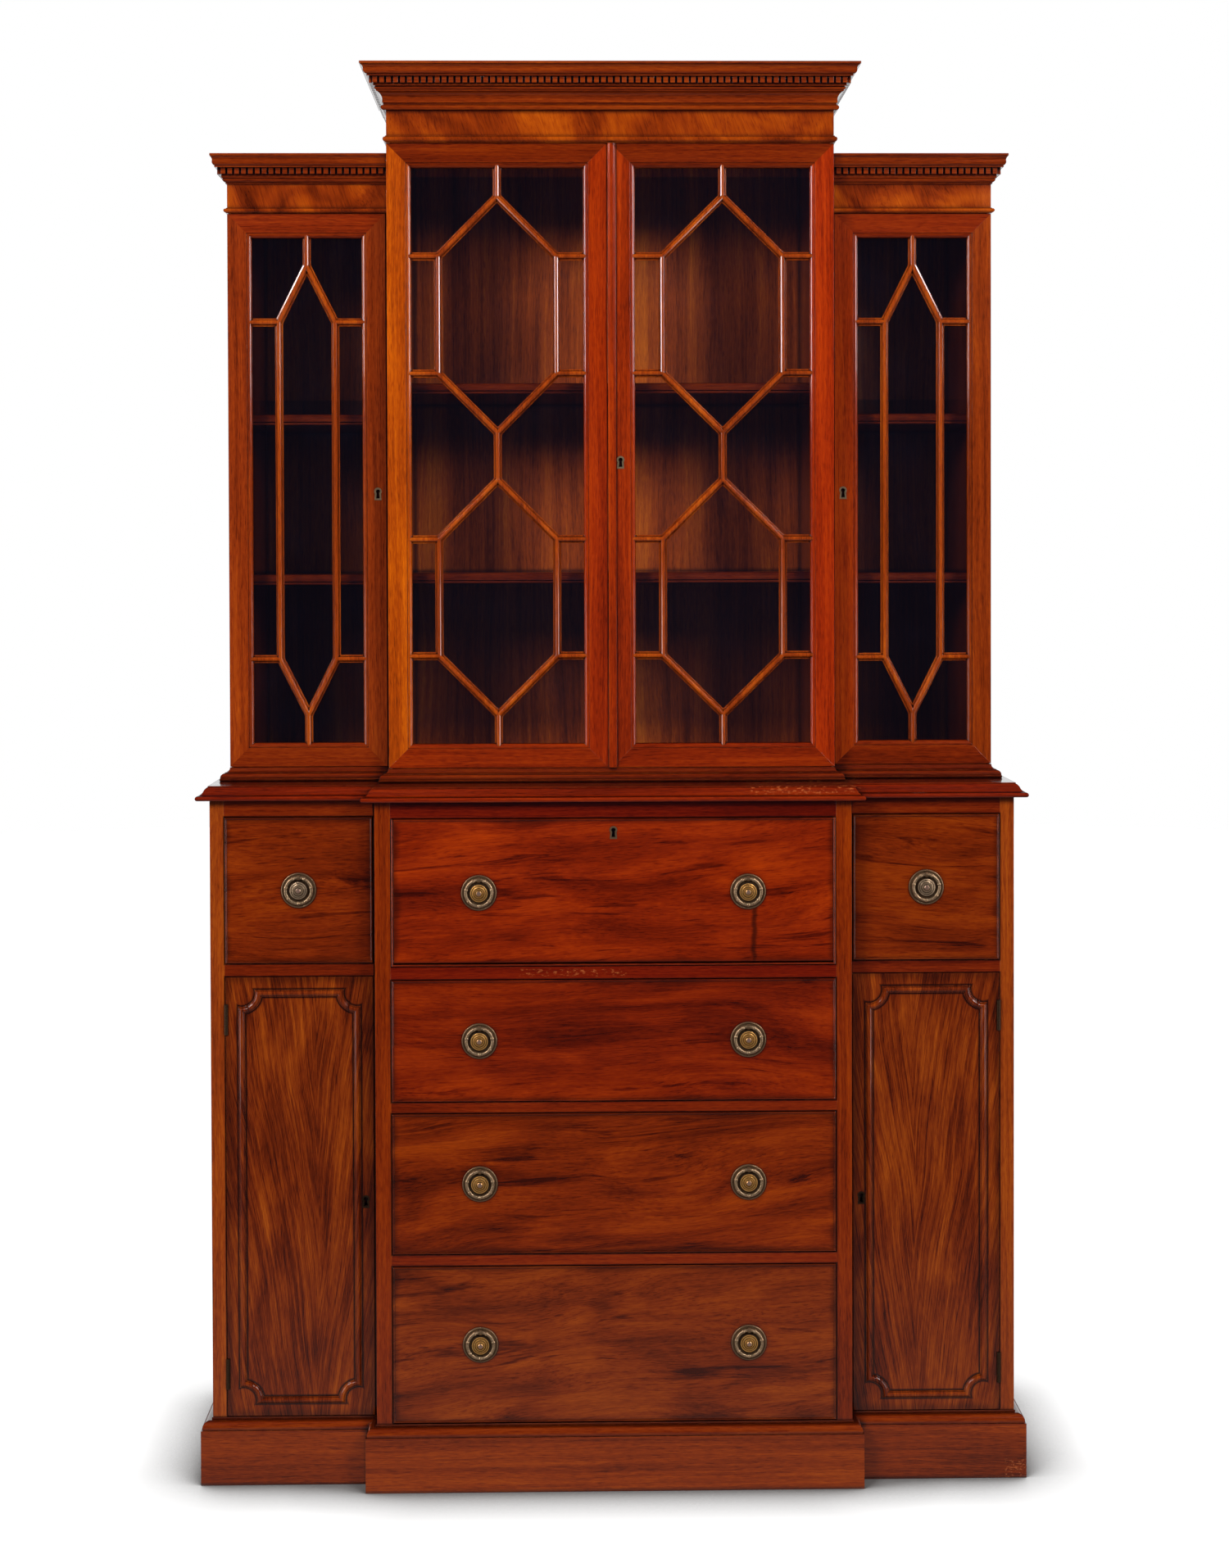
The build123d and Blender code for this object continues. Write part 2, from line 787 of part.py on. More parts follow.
def door_section():
    """A stile or rail: flat face, moulded inner edge, rebate for the glass. X is away from the glass."""
    face = door_thickness
    quirk, drop = face - sight_quirk, face - sight_moulding_drop
    with BuildSketch() as section:
        with BuildLine():
            Polyline(
                (0, drop),
                (0, face - glass_level),
                (rebate_width, face - glass_level),
                (rebate_width, 0),
                (door_member_width, 0),
                (door_member_width, face),
                (sight_moulding_width, face),
                (sight_moulding_width, quirk),
            )
            bulge = (sight_moulding_width * (1 - cos(pi / 4)), drop + (quirk - drop) * sin(pi / 4))
            ThreePointArc((sight_moulding_width, quirk), bulge, (0, drop))
        make_face()
    return section.sketch


def sight_rectangle(x, z):
    """The glass opening of a door that spans x and z."""
    left, right = min(x) + door_member_width, max(x) - door_member_width
    foot, head = z[0] + door_member_width, z[1] - door_member_width
    return left, right, foot, head


def door_frame_solids(x, face, z):
    left, right, foot, head = sight_rectangle(x, z)
    back = face + door_thickness
    corners = [(right, back, foot), (left, back, foot), (left, back, head), (right, back, head)]
    return mitred_lengths(door_section(), corners, forward, door_member_width, closed=True)


def bar_lengths(start, end, plane_y):
    """One straight glazing bar on the glass."""
    section = outline(glazing_bar_shares, bar_width, bar_height)
    path = [(start[0], plane_y, start[1]), (end[0], plane_y, end[1])]
    return mitred_lengths(section, path, forward, bar_width)


def hexagon_bars(centre, foot, head, half_width, rise, plane_y):
    """The long six-sided figure: a point at the top and at the foot, with upright sides."""
    section = outline(glazing_bar_shares, bar_width, bar_height)
    corners = [
        (centre, foot),
        (centre - half_width, foot + rise),
        (centre - half_width, head - rise),
        (centre, head),
        (centre + half_width, head - rise),
        (centre + half_width, foot + rise),
    ]
    path = [(x, plane_y, z) for x, z in corners]
    return mitred_lengths(section, path, forward, bar_width, closed=True)


def glazing_bars(x, face, z, end_bar, width_share, rise, figures):
    """Figures one above the other, and short bars that join them and run into the frame's moulding."""
    left, right, foot, head = sight_rectangle(x, z)
    plane_y = face + glass_level
    centre = (left + right) / 2
    half_width = width_share * (right - left) / 2
    figure_height = (head - foot - 2 * end_bar - (figures - 1) * link_bar_length) / figures
    over = sight_moulding_width
    low = foot + end_bar
    bars = bar_lengths((centre, foot - over), (centre, low), plane_y)
    for figure in range(figures):
        high = low + figure_height
        bars += hexagon_bars(centre, low, high, half_width, rise, plane_y)
        for level in (low + rise, high - rise):
            bars += bar_lengths((left - over, level), (centre - half_width, level), plane_y)
            bars += bar_lengths((centre + half_width, level), (right + over, level), plane_y)
        above = high + link_bar_length if figure < figures - 1 else head + over
        bars += bar_lengths((centre, high), (centre, above), plane_y)
        low = above
    return bars


def glass_pane(x, face, z):
    left, right, foot, head = sight_rectangle(x, z)
    front = face + glass_level
    return board(
        (left - rebate_width, right + rebate_width),
        (front, front + glass_thickness),
        (foot - rebate_width, head + rebate_width),
    )


def cover_strip(z):
    """The strip at the joint of the centre doors: it fills the right door's edge and laps its face."""
    front = upper_front - cover_strip_proud
    back = upper_front + door_thickness
    bevel = cover_strip_proud / 3
    shoulder = front + bevel
    with BuildPart() as strip:
        with BuildSketch(Plane.XY.offset(z[0])):
            with BuildLine():
                Polyline(
                    (meeting_line, shoulder),
                    (meeting_line, back),
                    (right_door_frame_start, back),
                    (right_door_frame_start, upper_front),
                    (cover_strip_right, upper_front),
                    (cover_strip_right, shoulder),
                )
                middle = (meeting_line + cover_strip_right) / 2
                ThreePointArc((cover_strip_right, shoulder), (middle, front), (meeting_line, shoulder))
            make_face()
        extrude(amount=z[1] - z[0])
    return strip.part.solid()


def glazed_door(name, x, face, z, pins, bars, key=None, extra=()):
    """Frame, bars scribed to its moulding, glass and brass of one door."""
    plain = door_frame_solids(x, face, z)
    brass = [door_pin(pin) for pin in pins]
    members = [cut_away(member, *brass) for member in plain]
    if key:
        members = [cut_keyhole(member, key[0], face, key[1]) for member in members]
        brass.append(escutcheon(key[0], face, key[1]))
    finish_group(members + list(extra), f"{name}_frame")
    finish(cut_away(joined(*glazing_bars(x, face, z, *bars)), *plain), f"{name}_bars")
    finish(glass_pane(x, face, z), f"{name}_glass")
    finish_group(brass, f"{name}_brass")


def upper_doors():
    centre_z = (upper_floor + door_gap, centre_door_head - door_gap)
    wing_z = (upper_floor + door_gap, wing_door_head - door_gap)
    centre_bars = (end_bar_length, centre_figure_share, centre_point_rise, 2)
    wing_bars = (wing_end_bar_length, wing_figure_share, wing_point_rise, 1)
    glazed_door(
        "centre_left_door",
        (-upper_break, meeting_line - meeting_gap),
        upper_front,
        centre_z,
        centre_pins(-1),
        centre_bars,
    )
    glazed_door(
        "centre_right_door",
        (right_door_frame_start, upper_break),
        upper_front,
        centre_z,
        centre_pins(1),
        centre_bars,
        key=(meeting_line + centre_door_key_offset, centre_door_key_height),
        extra=[cover_strip(centre_z)],
    )
    for side, hand in (("left", -1), ("right", 1)):
        glazed_door(
            f"{side}_wing_door",
            (hand * wing_door_inner, hand * upper_edge),
            upper_wing_front,
            wing_z,
            wing_pins(hand),
            wing_bars,
            key=(hand * (wing_door_inner + wing_door_key_offset), wing_door_key_height),
        )


# Cupboard doors


def panel_moulding(x, face, z):
    """A moulding planted on the door: straight lengths, and quarter rounds that bend in at the corners."""
    section = outline(panel_moulding_shares, panel_moulding_width, panel_moulding_height)
    inset = panel_moulding_margin + panel_moulding_width / 2
    radius = panel_moulding_corner
    lead = panel_moulding_width / radius
    left, right = min(x) + inset, max(x) - inset
    foot, head = z[0] + inset, z[1] - inset
    corners = [(right, foot), (left, foot), (left, head), (right, head)]
    lengths = []
    for corner, next_corner in zip(corners, corners[1:] + corners[:1]):
        start = Vector(corner[0], face, corner[1])
        end = Vector(next_corner[0], face, next_corner[1])
        heading = (end - start).normalized()
        across = forward.cross(heading)
        mitre = heading - across
        first, last = start + heading * radius, end - heading * radius
        with BuildPart() as straight:
            origin = first - heading * panel_moulding_width
            with BuildSketch(Plane(origin=origin, x_dir=across, z_dir=heading)):
                add(section)
            extrude(amount=(last - first).length + 2 * panel_moulding_width)
            split(bisect_by=Plane(origin=first, z_dir=heading + across), keep=Keep.TOP)
            split(bisect_by=Plane(origin=last, z_dir=mitre), keep=Keep.BOTTOM)
        lengths.append(straight.part.solid())
        inward = heading * cos(lead) - across * sin(lead)
        with BuildPart() as quarter:
            origin = end - inward * radius
            with BuildSketch(Plane(origin=origin, x_dir=inward, z_dir=inward.cross(forward))):
                add(section)
            revolve(axis=Axis(end, forward), revolution_arc=90 + 2 * degrees(lead))
            split(bisect_by=Plane(origin=last, z_dir=mitre), keep=Keep.TOP)
            split(bisect_by=Plane(origin=end - across * radius, z_dir=mitre), keep=Keep.BOTTOM)
        lengths.append(quarter.part.solid())
    return lengths


def cupboard_slab(inner, outer, z):
    """The door board, with its closing edge bevelled so that it clears the case as it swings."""
    hand = 1 if outer > inner else -1
    face, back = lower_wing_front, lower_wing_front + door_thickness
    with BuildPart() as slab:
        with BuildSketch(Plane.XY.offset(z[0])):
            with BuildLine():
                bevelled = inner + hand * closing_bevel
                Polyline((inner, face), (outer, face), (outer, back), (bevelled, back), close=True)
            make_face()
        extrude(amount=z[1] - z[0])
    return cut_for_hinges(slab.part.solid(), hand)


def cupboard_doors():
    z = (bottom_drawer_foot + door_gap, second_drawer_head - door_gap)
    for side, hand in (("left", -1), ("right", 1)):
        inner, outer = hand * (wing_bay + door_gap), hand * (lower_side_inner - door_gap)
        key_x = inner + hand * cupboard_key_offset
        slab = cut_keyhole(cupboard_slab(inner, outer, z), key_x, lower_wing_front, cupboard_key_height)
        moulding = panel_moulding((inner, outer), lower_wing_front, z)
        finish_group([slab] + moulding, f"{side}_cupboard_door")
        brass = [butt_hinge(hand, place)[1] for place in hinge_places(hand)]
        brass.append(escutcheon(key_x, lower_wing_front, cupboard_key_height))
        finish_group(brass, f"{side}_cupboard_brass")


# Ring pulls


def ring_level():
    """How far the middle of the ring's wire stands off the drawer front."""
    return pull_plate_thickness + ring_bead_radius + ring_gap


def pull_plate(x, face, z):
    """Round back plate with a raised rim, a turned boss in its middle and a lug that the ring hangs in."""
    plate, rim_inner = pull_plate_thickness, pull_plate_radius - pull_rim_width
    rim_top = (pull_plate_radius - pull_rim_width / 2, -pull_rim_height)
    boss = [(pull_boss_radius * out, -pull_boss_height * rise) for out, rise in pull_boss_shares]
    lug_bore = ring_wire_radius + ring_lug_clearance
    with BuildPart() as pull:
        with BuildSketch(Plane(origin=(x, face, z), x_dir=(1, 0, 0), z_dir=(0, 0, 1))):
            with BuildLine():
                Polyline((0, 0), (pull_plate_radius, 0), (pull_plate_radius, -plate))
                ThreePointArc((pull_plate_radius, -plate), rim_top, (rim_inner, -plate))
                Polyline((rim_inner, -plate), (pull_boss_radius, -plate), *boss, (0, 0))
            make_face()
        revolve(axis=Axis((x, face, z), (0, 1, 0)))
        for radius, mode in ((lug_bore + ring_lug_wall, Mode.ADD), (lug_bore, Mode.SUBTRACT)):
            with BuildSketch(Plane.YZ.offset(x - ring_lug_width / 2)):
                with Locations((face - ring_level(), z + ring_radius)):
                    Circle(radius)
            extrude(amount=ring_lug_width, mode=mode)
    return pull.part.solid()


def pull_ring(x, face, z):
    """The ring with its small beads, hanging round the boss."""
    level = face - ring_level()
    with BuildPart() as ring:
        with BuildSketch(Plane(origin=(x, level, z), x_dir=(1, 0, 0), z_dir=(0, 0, 1))):
            with Locations((ring_radius, 0)):
                Circle(ring_wire_radius)
        revolve(axis=Axis((x, level, z), (0, 1, 0)))
        for bead in range(ring_bead_count):
            turn = 2 * pi * bead / ring_bead_count - pi / 2
            middle = (x + ring_radius * cos(turn), level, z + ring_radius * sin(turn))
            with Locations(Location(middle, (0, -degrees(turn), 0))):
                Sphere(ring_bead_radius)
    return ring.part.solid()


# Drawers


def cock_bead_section(depth):
    """A thin bead: x away from the drawer front, y forward from its back to its round edge."""
    straight = depth + cock_bead_proud - cock_bead / 2
    with BuildSketch() as section:
        with Locations((cock_bead / 2, straight / 2)):
            Rectangle(cock_bead, straight)
        with Locations((cock_bead / 2, straight)):
            Circle(cock_bead / 2)
    return section.sketch


def drawer_front(x, face, z):
    """The front with four mitred beads round its edge."""
    left, right = min(x) + drawer_gap + cock_bead, max(x) - drawer_gap - cock_bead
    foot, head = z[0] + drawer_gap + cock_bead, z[1] - drawer_gap - cock_bead
    back = face + drawer_front_thickness
    corners = [(right, back, foot), (left, back, foot), (left, back, head), (right, back, head)]
    section = cock_bead_section(drawer_front_thickness)
    beads = mitred_lengths(section, corners, forward, cock_bead, closed=True)
    return [board((left, right), (face, back), (foot, head))] + beads


def drawer_box(x, front, z):
    """Two sides, a back between them and a thin bottom."""
    left, right = min(x) + drawer_side_gap, max(x) - drawer_side_gap
    inner = (left + drawer_side_thickness, right - drawer_side_thickness)
    tall = (z[0] + drawer_run_gap, z[1] - drawer_head_gap)
    end = back_face - drawer_rear_gap
    back = end - drawer_side_thickness
    bottom = z[0] + drawer_bottom_rise
    return [
        board((left, inner[0]), (front, end), tall),
        board((inner[1], right), (front, end), tall),
        board(inner, (back, end), tall),
        board(inner, (front, back), (bottom, bottom + drawer_bottom_thickness)),
    ]


def drawer(name, x, face, z, pulls):
    """Front, box, back plates and rings of one drawer; pulls holds a word and a place across for each."""
    middle = (z[0] + z[1]) / 2
    finish_group(drawer_front(x, face, z), f"{name}_front")
    finish_group(drawer_box(x, face + drawer_front_thickness, z), f"{name}_box")
    finish_group([pull_plate(place, face, middle) for _, place in pulls], f"{name}_plates")
    for word, place in pulls:
        finish(pull_ring(place, face, middle), f"{name}_{word}ring")


def drawers():
    across = (-centre_bay, centre_bay)
    pulls = (("left_", -centre_pull_spacing / 2), ("right_", centre_pull_spacing / 2))
    openings = (
        (second_drawer_foot, second_drawer_head),
        (third_drawer_foot, third_drawer_head),
        (bottom_drawer_foot, bottom_drawer_head),
    )
    for number, z in enumerate(openings, start=1):
        drawer(f"long_drawer_{number}", across, lower_front, z, pulls)
    for side, hand in (("left", -1), ("right", 1)):
        wing = (hand * wing_bay, hand * lower_side_inner)
        pull = (("", sum(wing) / 2),)
        drawer(f"{side}_wing_drawer", wing, lower_wing_front, (top_drawer_foot, top_drawer_head), pull)


# Secretaire drawer, the top one in the centre: its front falls forward on two pins

secretaire_foot = top_drawer_foot + drawer_gap
secretaire_head = top_drawer_head - drawer_gap
cheek_inner = centre_bay - drawer_gap - cock_bead
fall_edge = cheek_inner - fall_end_gap
fall_foot = secretaire_foot + cock_bead + fall_gap
fall_head = secretaire_head - cock_bead
fall_back = lower_front + drawer_front_thickness
pivot_y = lower_front + fall_pivot_inset
pivot_z = fall_foot + fall_pivot_inset
fall_behind_pivot = drawer_front_thickness - fall_pivot_inset
bed_front = pivot_y + hypot(fall_behind_pivot, fall_pivot_inset) + fall_gap
bed_top = pivot_z + fall_behind_pivot


def secretaire_box():
    """Sides, back and writing bed, with the beads that stay with the drawer when the front falls."""
    across = (-centre_bay, centre_bay)
    left_side, right_side, back, _ = drawer_box(across, bed_front, (top_drawer_foot, top_drawer_head))
    bed_edge = centre_bay - drawer_side_gap - drawer_side_thickness
    bed_back = back_face - drawer_rear_gap - drawer_side_thickness
    bed = board((-bed_edge, bed_edge), (bed_front, bed_back), (secretaire_foot, bed_top))
    low = secretaire_foot + cock_bead
    path = [
        (cheek_inner, bed_front, secretaire_head),
        (cheek_inner, bed_front, low),
        (-cheek_inner, bed_front, low),
        (-cheek_inner, bed_front, secretaire_head),
    ]
    beads = mitred_lengths(cock_bead_section(bed_front - lower_front), path, forward, cock_bead)
    reach = cheek_inner + cock_bead
    hole = cross_bar((-reach, reach), pivot_y, pivot_z, fall_pin_radius + fall_pin_fit)
    beads = [cut_away(beads[0], hole), beads[1], cut_away(beads[2], hole)]
    finish_group([left_side, right_side, back, bed] + beads, "secretaire_box")


def fall_pins():
    inner, outer = fall_edge - fall_pin_bite, fall_edge + fall_end_gap + fall_pin_reach
    return [cross_bar((hand * inner, hand * outer), pivot_y, pivot_z, fall_pin_radius) for hand in (-1, 1)]


def secretaire_fall():
    """The falling front, its lower front edge rounded about the pins, and the bead along its top."""
    with BuildPart() as fall:
        with BuildSketch(Plane.YZ.offset(-fall_edge)):
            with BuildLine():
                Polyline(
                    (lower_front, pivot_z),
                    (lower_front, fall_head),
                    (fall_back, fall_head),
                    (fall_back, fall_foot),
                    (pivot_y, fall_foot),
                )
                RadiusArc((pivot_y, fall_foot), (lower_front, pivot_z), fall_pivot_inset)
            make_face()
        extrude(amount=2 * fall_edge)
    front = cut_away(fall.part.solid(), *fall_pins())
    front = cut_keyhole(front, 0, lower_front, top_drawer_head - drawer_key_drop)
    path = [(-fall_edge, fall_back, fall_head), (fall_edge, fall_back, fall_head)]
    bead = mitred_lengths(cock_bead_section(drawer_front_thickness), path, forward, cock_bead)
    finish_group([front] + bead, "secretaire_fall")


def quadrant_stay(hand):
    """A flat brass quadrant about the pins, with a palm on the back of the front."""
    outer = centre_bay - drawer_side_gap - drawer_side_thickness - stay_gap
    low = min(hand * outer, hand * (outer - stay_thickness))
    arcs = []
    for radius in (stay_radius + stay_width / 2, stay_radius - stay_width / 2):
        root = (fall_back, pivot_z + sqrt(radius**2 - fall_behind_pivot**2))
        arcs.append([root] + [
            (pivot_y + radius * cos(turn), pivot_z + radius * sin(turn))
            for turn in (radians(45), radians(stay_end_angle))
        ])
    (outer_root, outer_middle, outer_tip), (inner_root, inner_middle, inner_tip) = arcs
    with BuildPart() as stay:
        with BuildSketch(Plane.YZ.offset(low)):
            with BuildLine():
                ThreePointArc(outer_root, outer_middle, outer_tip)
                Line(outer_tip, inner_tip)
                ThreePointArc(inner_tip, inner_middle, inner_root)
                Line(inner_root, outer_root)
            make_face()
        extrude(amount=stay_thickness)
    palm_middle = pivot_z + stay_radius
    palm = board(
        (hand * outer, hand * (outer - stay_palm_width)),
        (fall_back, fall_back + stay_thickness),
        (palm_middle - stay_palm_height / 2, palm_middle + stay_palm_height / 2),
    )
    return joined(stay.part.solid(), palm)


def secretaire():
    middle = (top_drawer_foot + top_drawer_head) / 2
    half = centre_pull_spacing / 2
    secretaire_box()
    secretaire_fall()
    brass = [pull_plate(place, lower_front, middle) for place in (-half, half)]
    brass.append(escutcheon(0, lower_front, top_drawer_head - drawer_key_drop))
    brass += fall_pins() + [quadrant_stay(hand) for hand in (-1, 1)]
    finish_group(brass, "secretaire_brass")
    for word, place in (("left", -half), ("right", half)):
        finish(pull_ring(place, lower_front, middle), f"secretaire_{word}_ring")


os.makedirs("parts", exist_ok=True)
plinth()
plinth_moulding()
lower_uprights()
lower_dividers()
back_boards()
waist_top()
upper_base_moulding()
upper_case_boards()
shelves()
friezes()
cornices()
case_hinges()
upper_doors()
cupboard_doors()
drawers()
secretaire()
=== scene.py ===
import bmesh
import bpy
from mathutils import Matrix, Vector


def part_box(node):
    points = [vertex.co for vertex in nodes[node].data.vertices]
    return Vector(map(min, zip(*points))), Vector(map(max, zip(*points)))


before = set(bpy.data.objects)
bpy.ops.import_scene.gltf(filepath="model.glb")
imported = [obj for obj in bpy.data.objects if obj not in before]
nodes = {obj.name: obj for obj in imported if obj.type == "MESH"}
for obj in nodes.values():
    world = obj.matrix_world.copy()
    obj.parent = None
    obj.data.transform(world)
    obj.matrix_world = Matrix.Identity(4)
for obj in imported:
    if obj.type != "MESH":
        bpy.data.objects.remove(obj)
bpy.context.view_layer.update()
scene = bpy.context.scene
scene.view_settings.view_transform = "Standard"
print("frame loaded:", len(nodes), "nodes")


# Camera, where the photograph was taken from
view = {
    "place": (-0.064, -3.8105, 1.372),
    "yaw": 0.0185,
    "pitch": -0.0184,
    "roll": -0.003,
    "sensor": 36,
    "lens": 56.33,
    "shiftY": -0.115,
}


def makeCamera():
    data = bpy.data.cameras.new("camera")
    data.sensor_width = view["sensor"]
    data.lens = view["lens"]
    data.shift_y = view["shiftY"]
    camera = bpy.data.objects.new("camera", data)
    scene.collection.objects.link(camera)
    ahead = Matrix.Rotation(-view["yaw"], 3, "Z") @ Vector((0, 1, 0))
    right = ahead.cross(Vector((0, 0, 1))).normalized()
    ahead = Matrix.Rotation(view["pitch"], 3, right) @ ahead
    right = Matrix.Rotation(-view["roll"], 3, ahead) @ right
    up = right.cross(ahead)
    turn = Matrix((right, up, -ahead)).transposed().to_4x4()
    camera.matrix_world = Matrix.Translation(view["place"]) @ turn
    scene.camera = camera


makeCamera()
print("camera placed")


# Small helpers for node trees
def put(tree, kind, inputs=None, **settings):
    node = tree.nodes.new("ShaderNode" + kind)
    for name, value in settings.items():
        setattr(node, name, value)
    for name, value in (inputs or {}).items():
        if isinstance(value, bpy.types.NodeSocket):
            tree.links.new(value, node.inputs[name])
        else:
            node.inputs[name].default_value = value
    return node


def calc(tree, operation, first, second=0.0, third=0.0, clamp=False):
    inputs = {0: first, 1: second, 2: third}
    return put(tree, "Math", inputs, operation=operation, use_clamp=clamp).outputs[0]


def vectorCalc(tree, operation, first, second):
    return put(tree, "VectorMath", {0: first, 1: second}, operation=operation).outputs[0]


def blendColour(tree, share, first, second, way="MIX"):
    node = put(tree, "Mix", {0: share, 6: first, 7: second}, data_type="RGBA", blend_type=way)
    return node.outputs[2]


def blendVector(tree, share, first, second):
    node = put(tree, "Mix", {0: share, 4: first, 5: second}, data_type="VECTOR")
    return node.outputs[1]


def step(tree, value, low, high, fromLow=0.0, fromHigh=1.0):
    inputs = {0: value, 1: low, 2: high, 3: fromLow, 4: fromHigh}
    return put(tree, "MapRange", inputs, interpolation_type="SMOOTHSTEP").outputs[0]


def fade(tree, value, full, gone):
    # 1 up to the first limit and 0 from the second
    return step(tree, value, full, gone, 1.0, 0.0)


def centred(tree, value, width):
    # a value from 0 to 1, spread over a width around zero
    return calc(tree, "MULTIPLY_ADD", value, width, -width / 2)


def noise(tree, vector, size, detail=2.0, rough=0.5, twist=0.0):
    inputs = {"Vector": vectorCalc(tree, "MULTIPLY", vector, size), "Scale": 1.0, "Detail": detail}
    inputs.update({"Roughness": rough, "Distortion": twist})
    return put(tree, "TexNoise", inputs).outputs["Fac"]


def ramp(tree, value, stops):
    node = put(tree, "ValToRGB", {0: value})
    points = node.color_ramp.elements
    while len(points) < len(stops):
        points.new(0.5)
    for point, (place, colour) in zip(points, stops):
        point.position = place
        point.color = (*colour, 1)
    return node.outputs[0]


def paint(red, green, blue):
    # a colour as it is mixed on screen, 0 to 255, made the linear one that nodes take
    shares = [c / 255 for c in (red, green, blue)]
    return tuple(((c + 0.055) / 1.055) ** 2.4 if c > 10 / 255 else c / 12.92 for c in shares)


def solid(tone):
    return (*paint(*tone), 1)


def newMaterial(name):
    material = bpy.data.materials.new(name)
    material.use_nodes = True
    tree = material.node_tree
    tree.nodes.clear()
    out = put(tree, "OutputMaterial")
    shader = put(tree, "BsdfPrincipled")
    tree.links.new(shader.outputs[0], out.inputs[0])
    return material, tree, shader


def dress(name, material):
    slots = nodes[name].data.materials
    slots.clear()
    slots.append(material)


# Mahogany: grain runs along the first axis of the vector that grainPath gives
seedShift = (1.37, 0.71, 0.53)  # how far each step of the seed moves the grain, in metres
levelFace = 0.7  # a face of the carcase that looks up or down more than this has its grain across


def grainPath(tree, rule, box, seed):
    place = put(tree, "TexCoord").outputs["Object"]
    x, y, z = put(tree, "SeparateXYZ", {0: place}).outputs
    upright = put(tree, "CombineXYZ", {0: z, 1: x, 2: y}).outputs[0]
    across = put(tree, "CombineXYZ", {0: x, 1: z, 2: y}).outputs[0]
    inwards = put(tree, "CombineXYZ", {0: y, 1: z, 2: x}).outputs[0]
    normal = put(tree, "NewGeometry").outputs["True Normal"]
    nx, ny, nz = [calc(tree, "ABSOLUTE", s) for s in put(tree, "SeparateXYZ", {0: normal}).outputs]
    share = None
    if rule == "up":
        path = upright
    elif rule == "across":
        path = across
    elif rule == "wrap":
        share = calc(tree, "GREATER_THAN", nx, ny)
        path = blendVector(tree, share, across, inwards)
    elif rule == "carcase":
        share = calc(tree, "GREATER_THAN", nz, levelFace)
        path = blendVector(tree, share, upright, across)
    elif rule == "frame":
        fromSide, fromEnd = insideBox(tree, (x, y, z), box)
        share = calc(tree, "GREATER_THAN", fromSide, fromEnd)
        path = blendVector(tree, share, upright, across)
    path = vectorCalc(tree, "ADD", path, [seed * shift for shift in seedShift])
    return path, (x, y, z), share


def memberTone(tree, xyz, share, box, tones):
    # the four members of a frame are four pieces of wood: left, right, top, bottom
    low, high = box
    x, y, z = xyz
    onRight = calc(tree, "GREATER_THAN", x, (low[0] + high[0]) / 2)
    onTop = calc(tree, "GREATER_THAN", z, (low[2] + high[2]) / 2)
    left, right, top, bottom = [(*t, 1) for t in tones]
    stiles = blendColour(tree, onRight, left, right)
    rails = blendColour(tree, onTop, bottom, top)
    return blendColour(tree, share, stiles, rails)


def insideBox(tree, xyz, box):
    # how far a point is from the sides and from the ends of a box, inwards
    low, high = box
    inside = []
    for axis in (0, 2):
        fromLow = calc(tree, "SUBTRACT", xyz[axis], low[axis])
        fromHigh = calc(tree, "SUBTRACT", high[axis], xyz[axis])
        inside.append(calc(tree, "MINIMUM", fromLow, fromHigh))
    return inside


def mouldingWaxAndShade(tree, xyz, box, panel):
    # wax and painted shade along both sides of the moulding that is planted on a door
    fromSide, fromEnd = insideBox(tree, xyz, box)
    u = calc(tree, "SUBTRACT", fromSide, panel["inset"])
    v = calc(tree, "SUBTRACT", fromEnd, panel["inset"])
    flat = put(tree, "CombineXYZ", {0: u, 1: v}).outputs[0]
    corner = put(tree, "VectorMath", {0: flat}, operation="LENGTH").outputs["Value"]
    bend = calc(tree, "SUBTRACT", corner, panel["corner"])
    line = calc(tree, "ABSOLUTE", calc(tree, "MINIMUM", calc(tree, "MINIMUM", u, v), bend))
    half = panel["width"] / 2
    start, full, thin, end = [half + reach for reach in panel["waxAndShade"]]
    return calc(tree, "MULTIPLY", step(tree, line, start, full), fade(tree, line, thin, end))


def gapShadeLines(tree, xyz, boxes):
    # painted shadow of the dark gap round each drawer and door, as it shows on the wood beside it
    dark = None
    for box in boxes:
        fromSide, fromEnd = insideBox(tree, xyz, box)
        out = calc(tree, "MULTIPLY", calc(tree, "MINIMUM", fromSide, fromEnd), -1.0)
        line = fade(tree, out, *gapShadeReach)
        dark = line if dark is None else calc(tree, "MAXIMUM", dark, line)
    return dark


def waver(tree, along, seed, waves, detail, width):
    # how far a line strays to either side on its way along
    spot = put(tree, "CombineXYZ", {0: along, 1: seed}).outputs[0]
    return centred(tree, noise(tree, spot, (waves, 1, 1), detail), width)


def fanPath(tree, xyz, box, fan, seed):
    # crotch figure: streaks spread upwards from a line, again and again up the board
    x, y, z = xyz
    low, high = box
    side = calc(tree, "SUBTRACT", x, low[0] + fan["middle"] * (high[0] - low[0]))
    side = calc(tree, "ADD", side, waver(tree, z, seed, *fan["wander"]))
    spread = calc(tree, "ADD", calc(tree, "ABSOLUTE", side), fan["blunt"])
    spread = calc(tree, "POWER", spread, fan["curve"])
    height = calc(tree, "SUBTRACT", z, calc(tree, "MULTIPLY", spread, fan["rise"]))
    return put(tree, "CombineXYZ", {0: height, 1: side, 2: seed}).outputs[0]


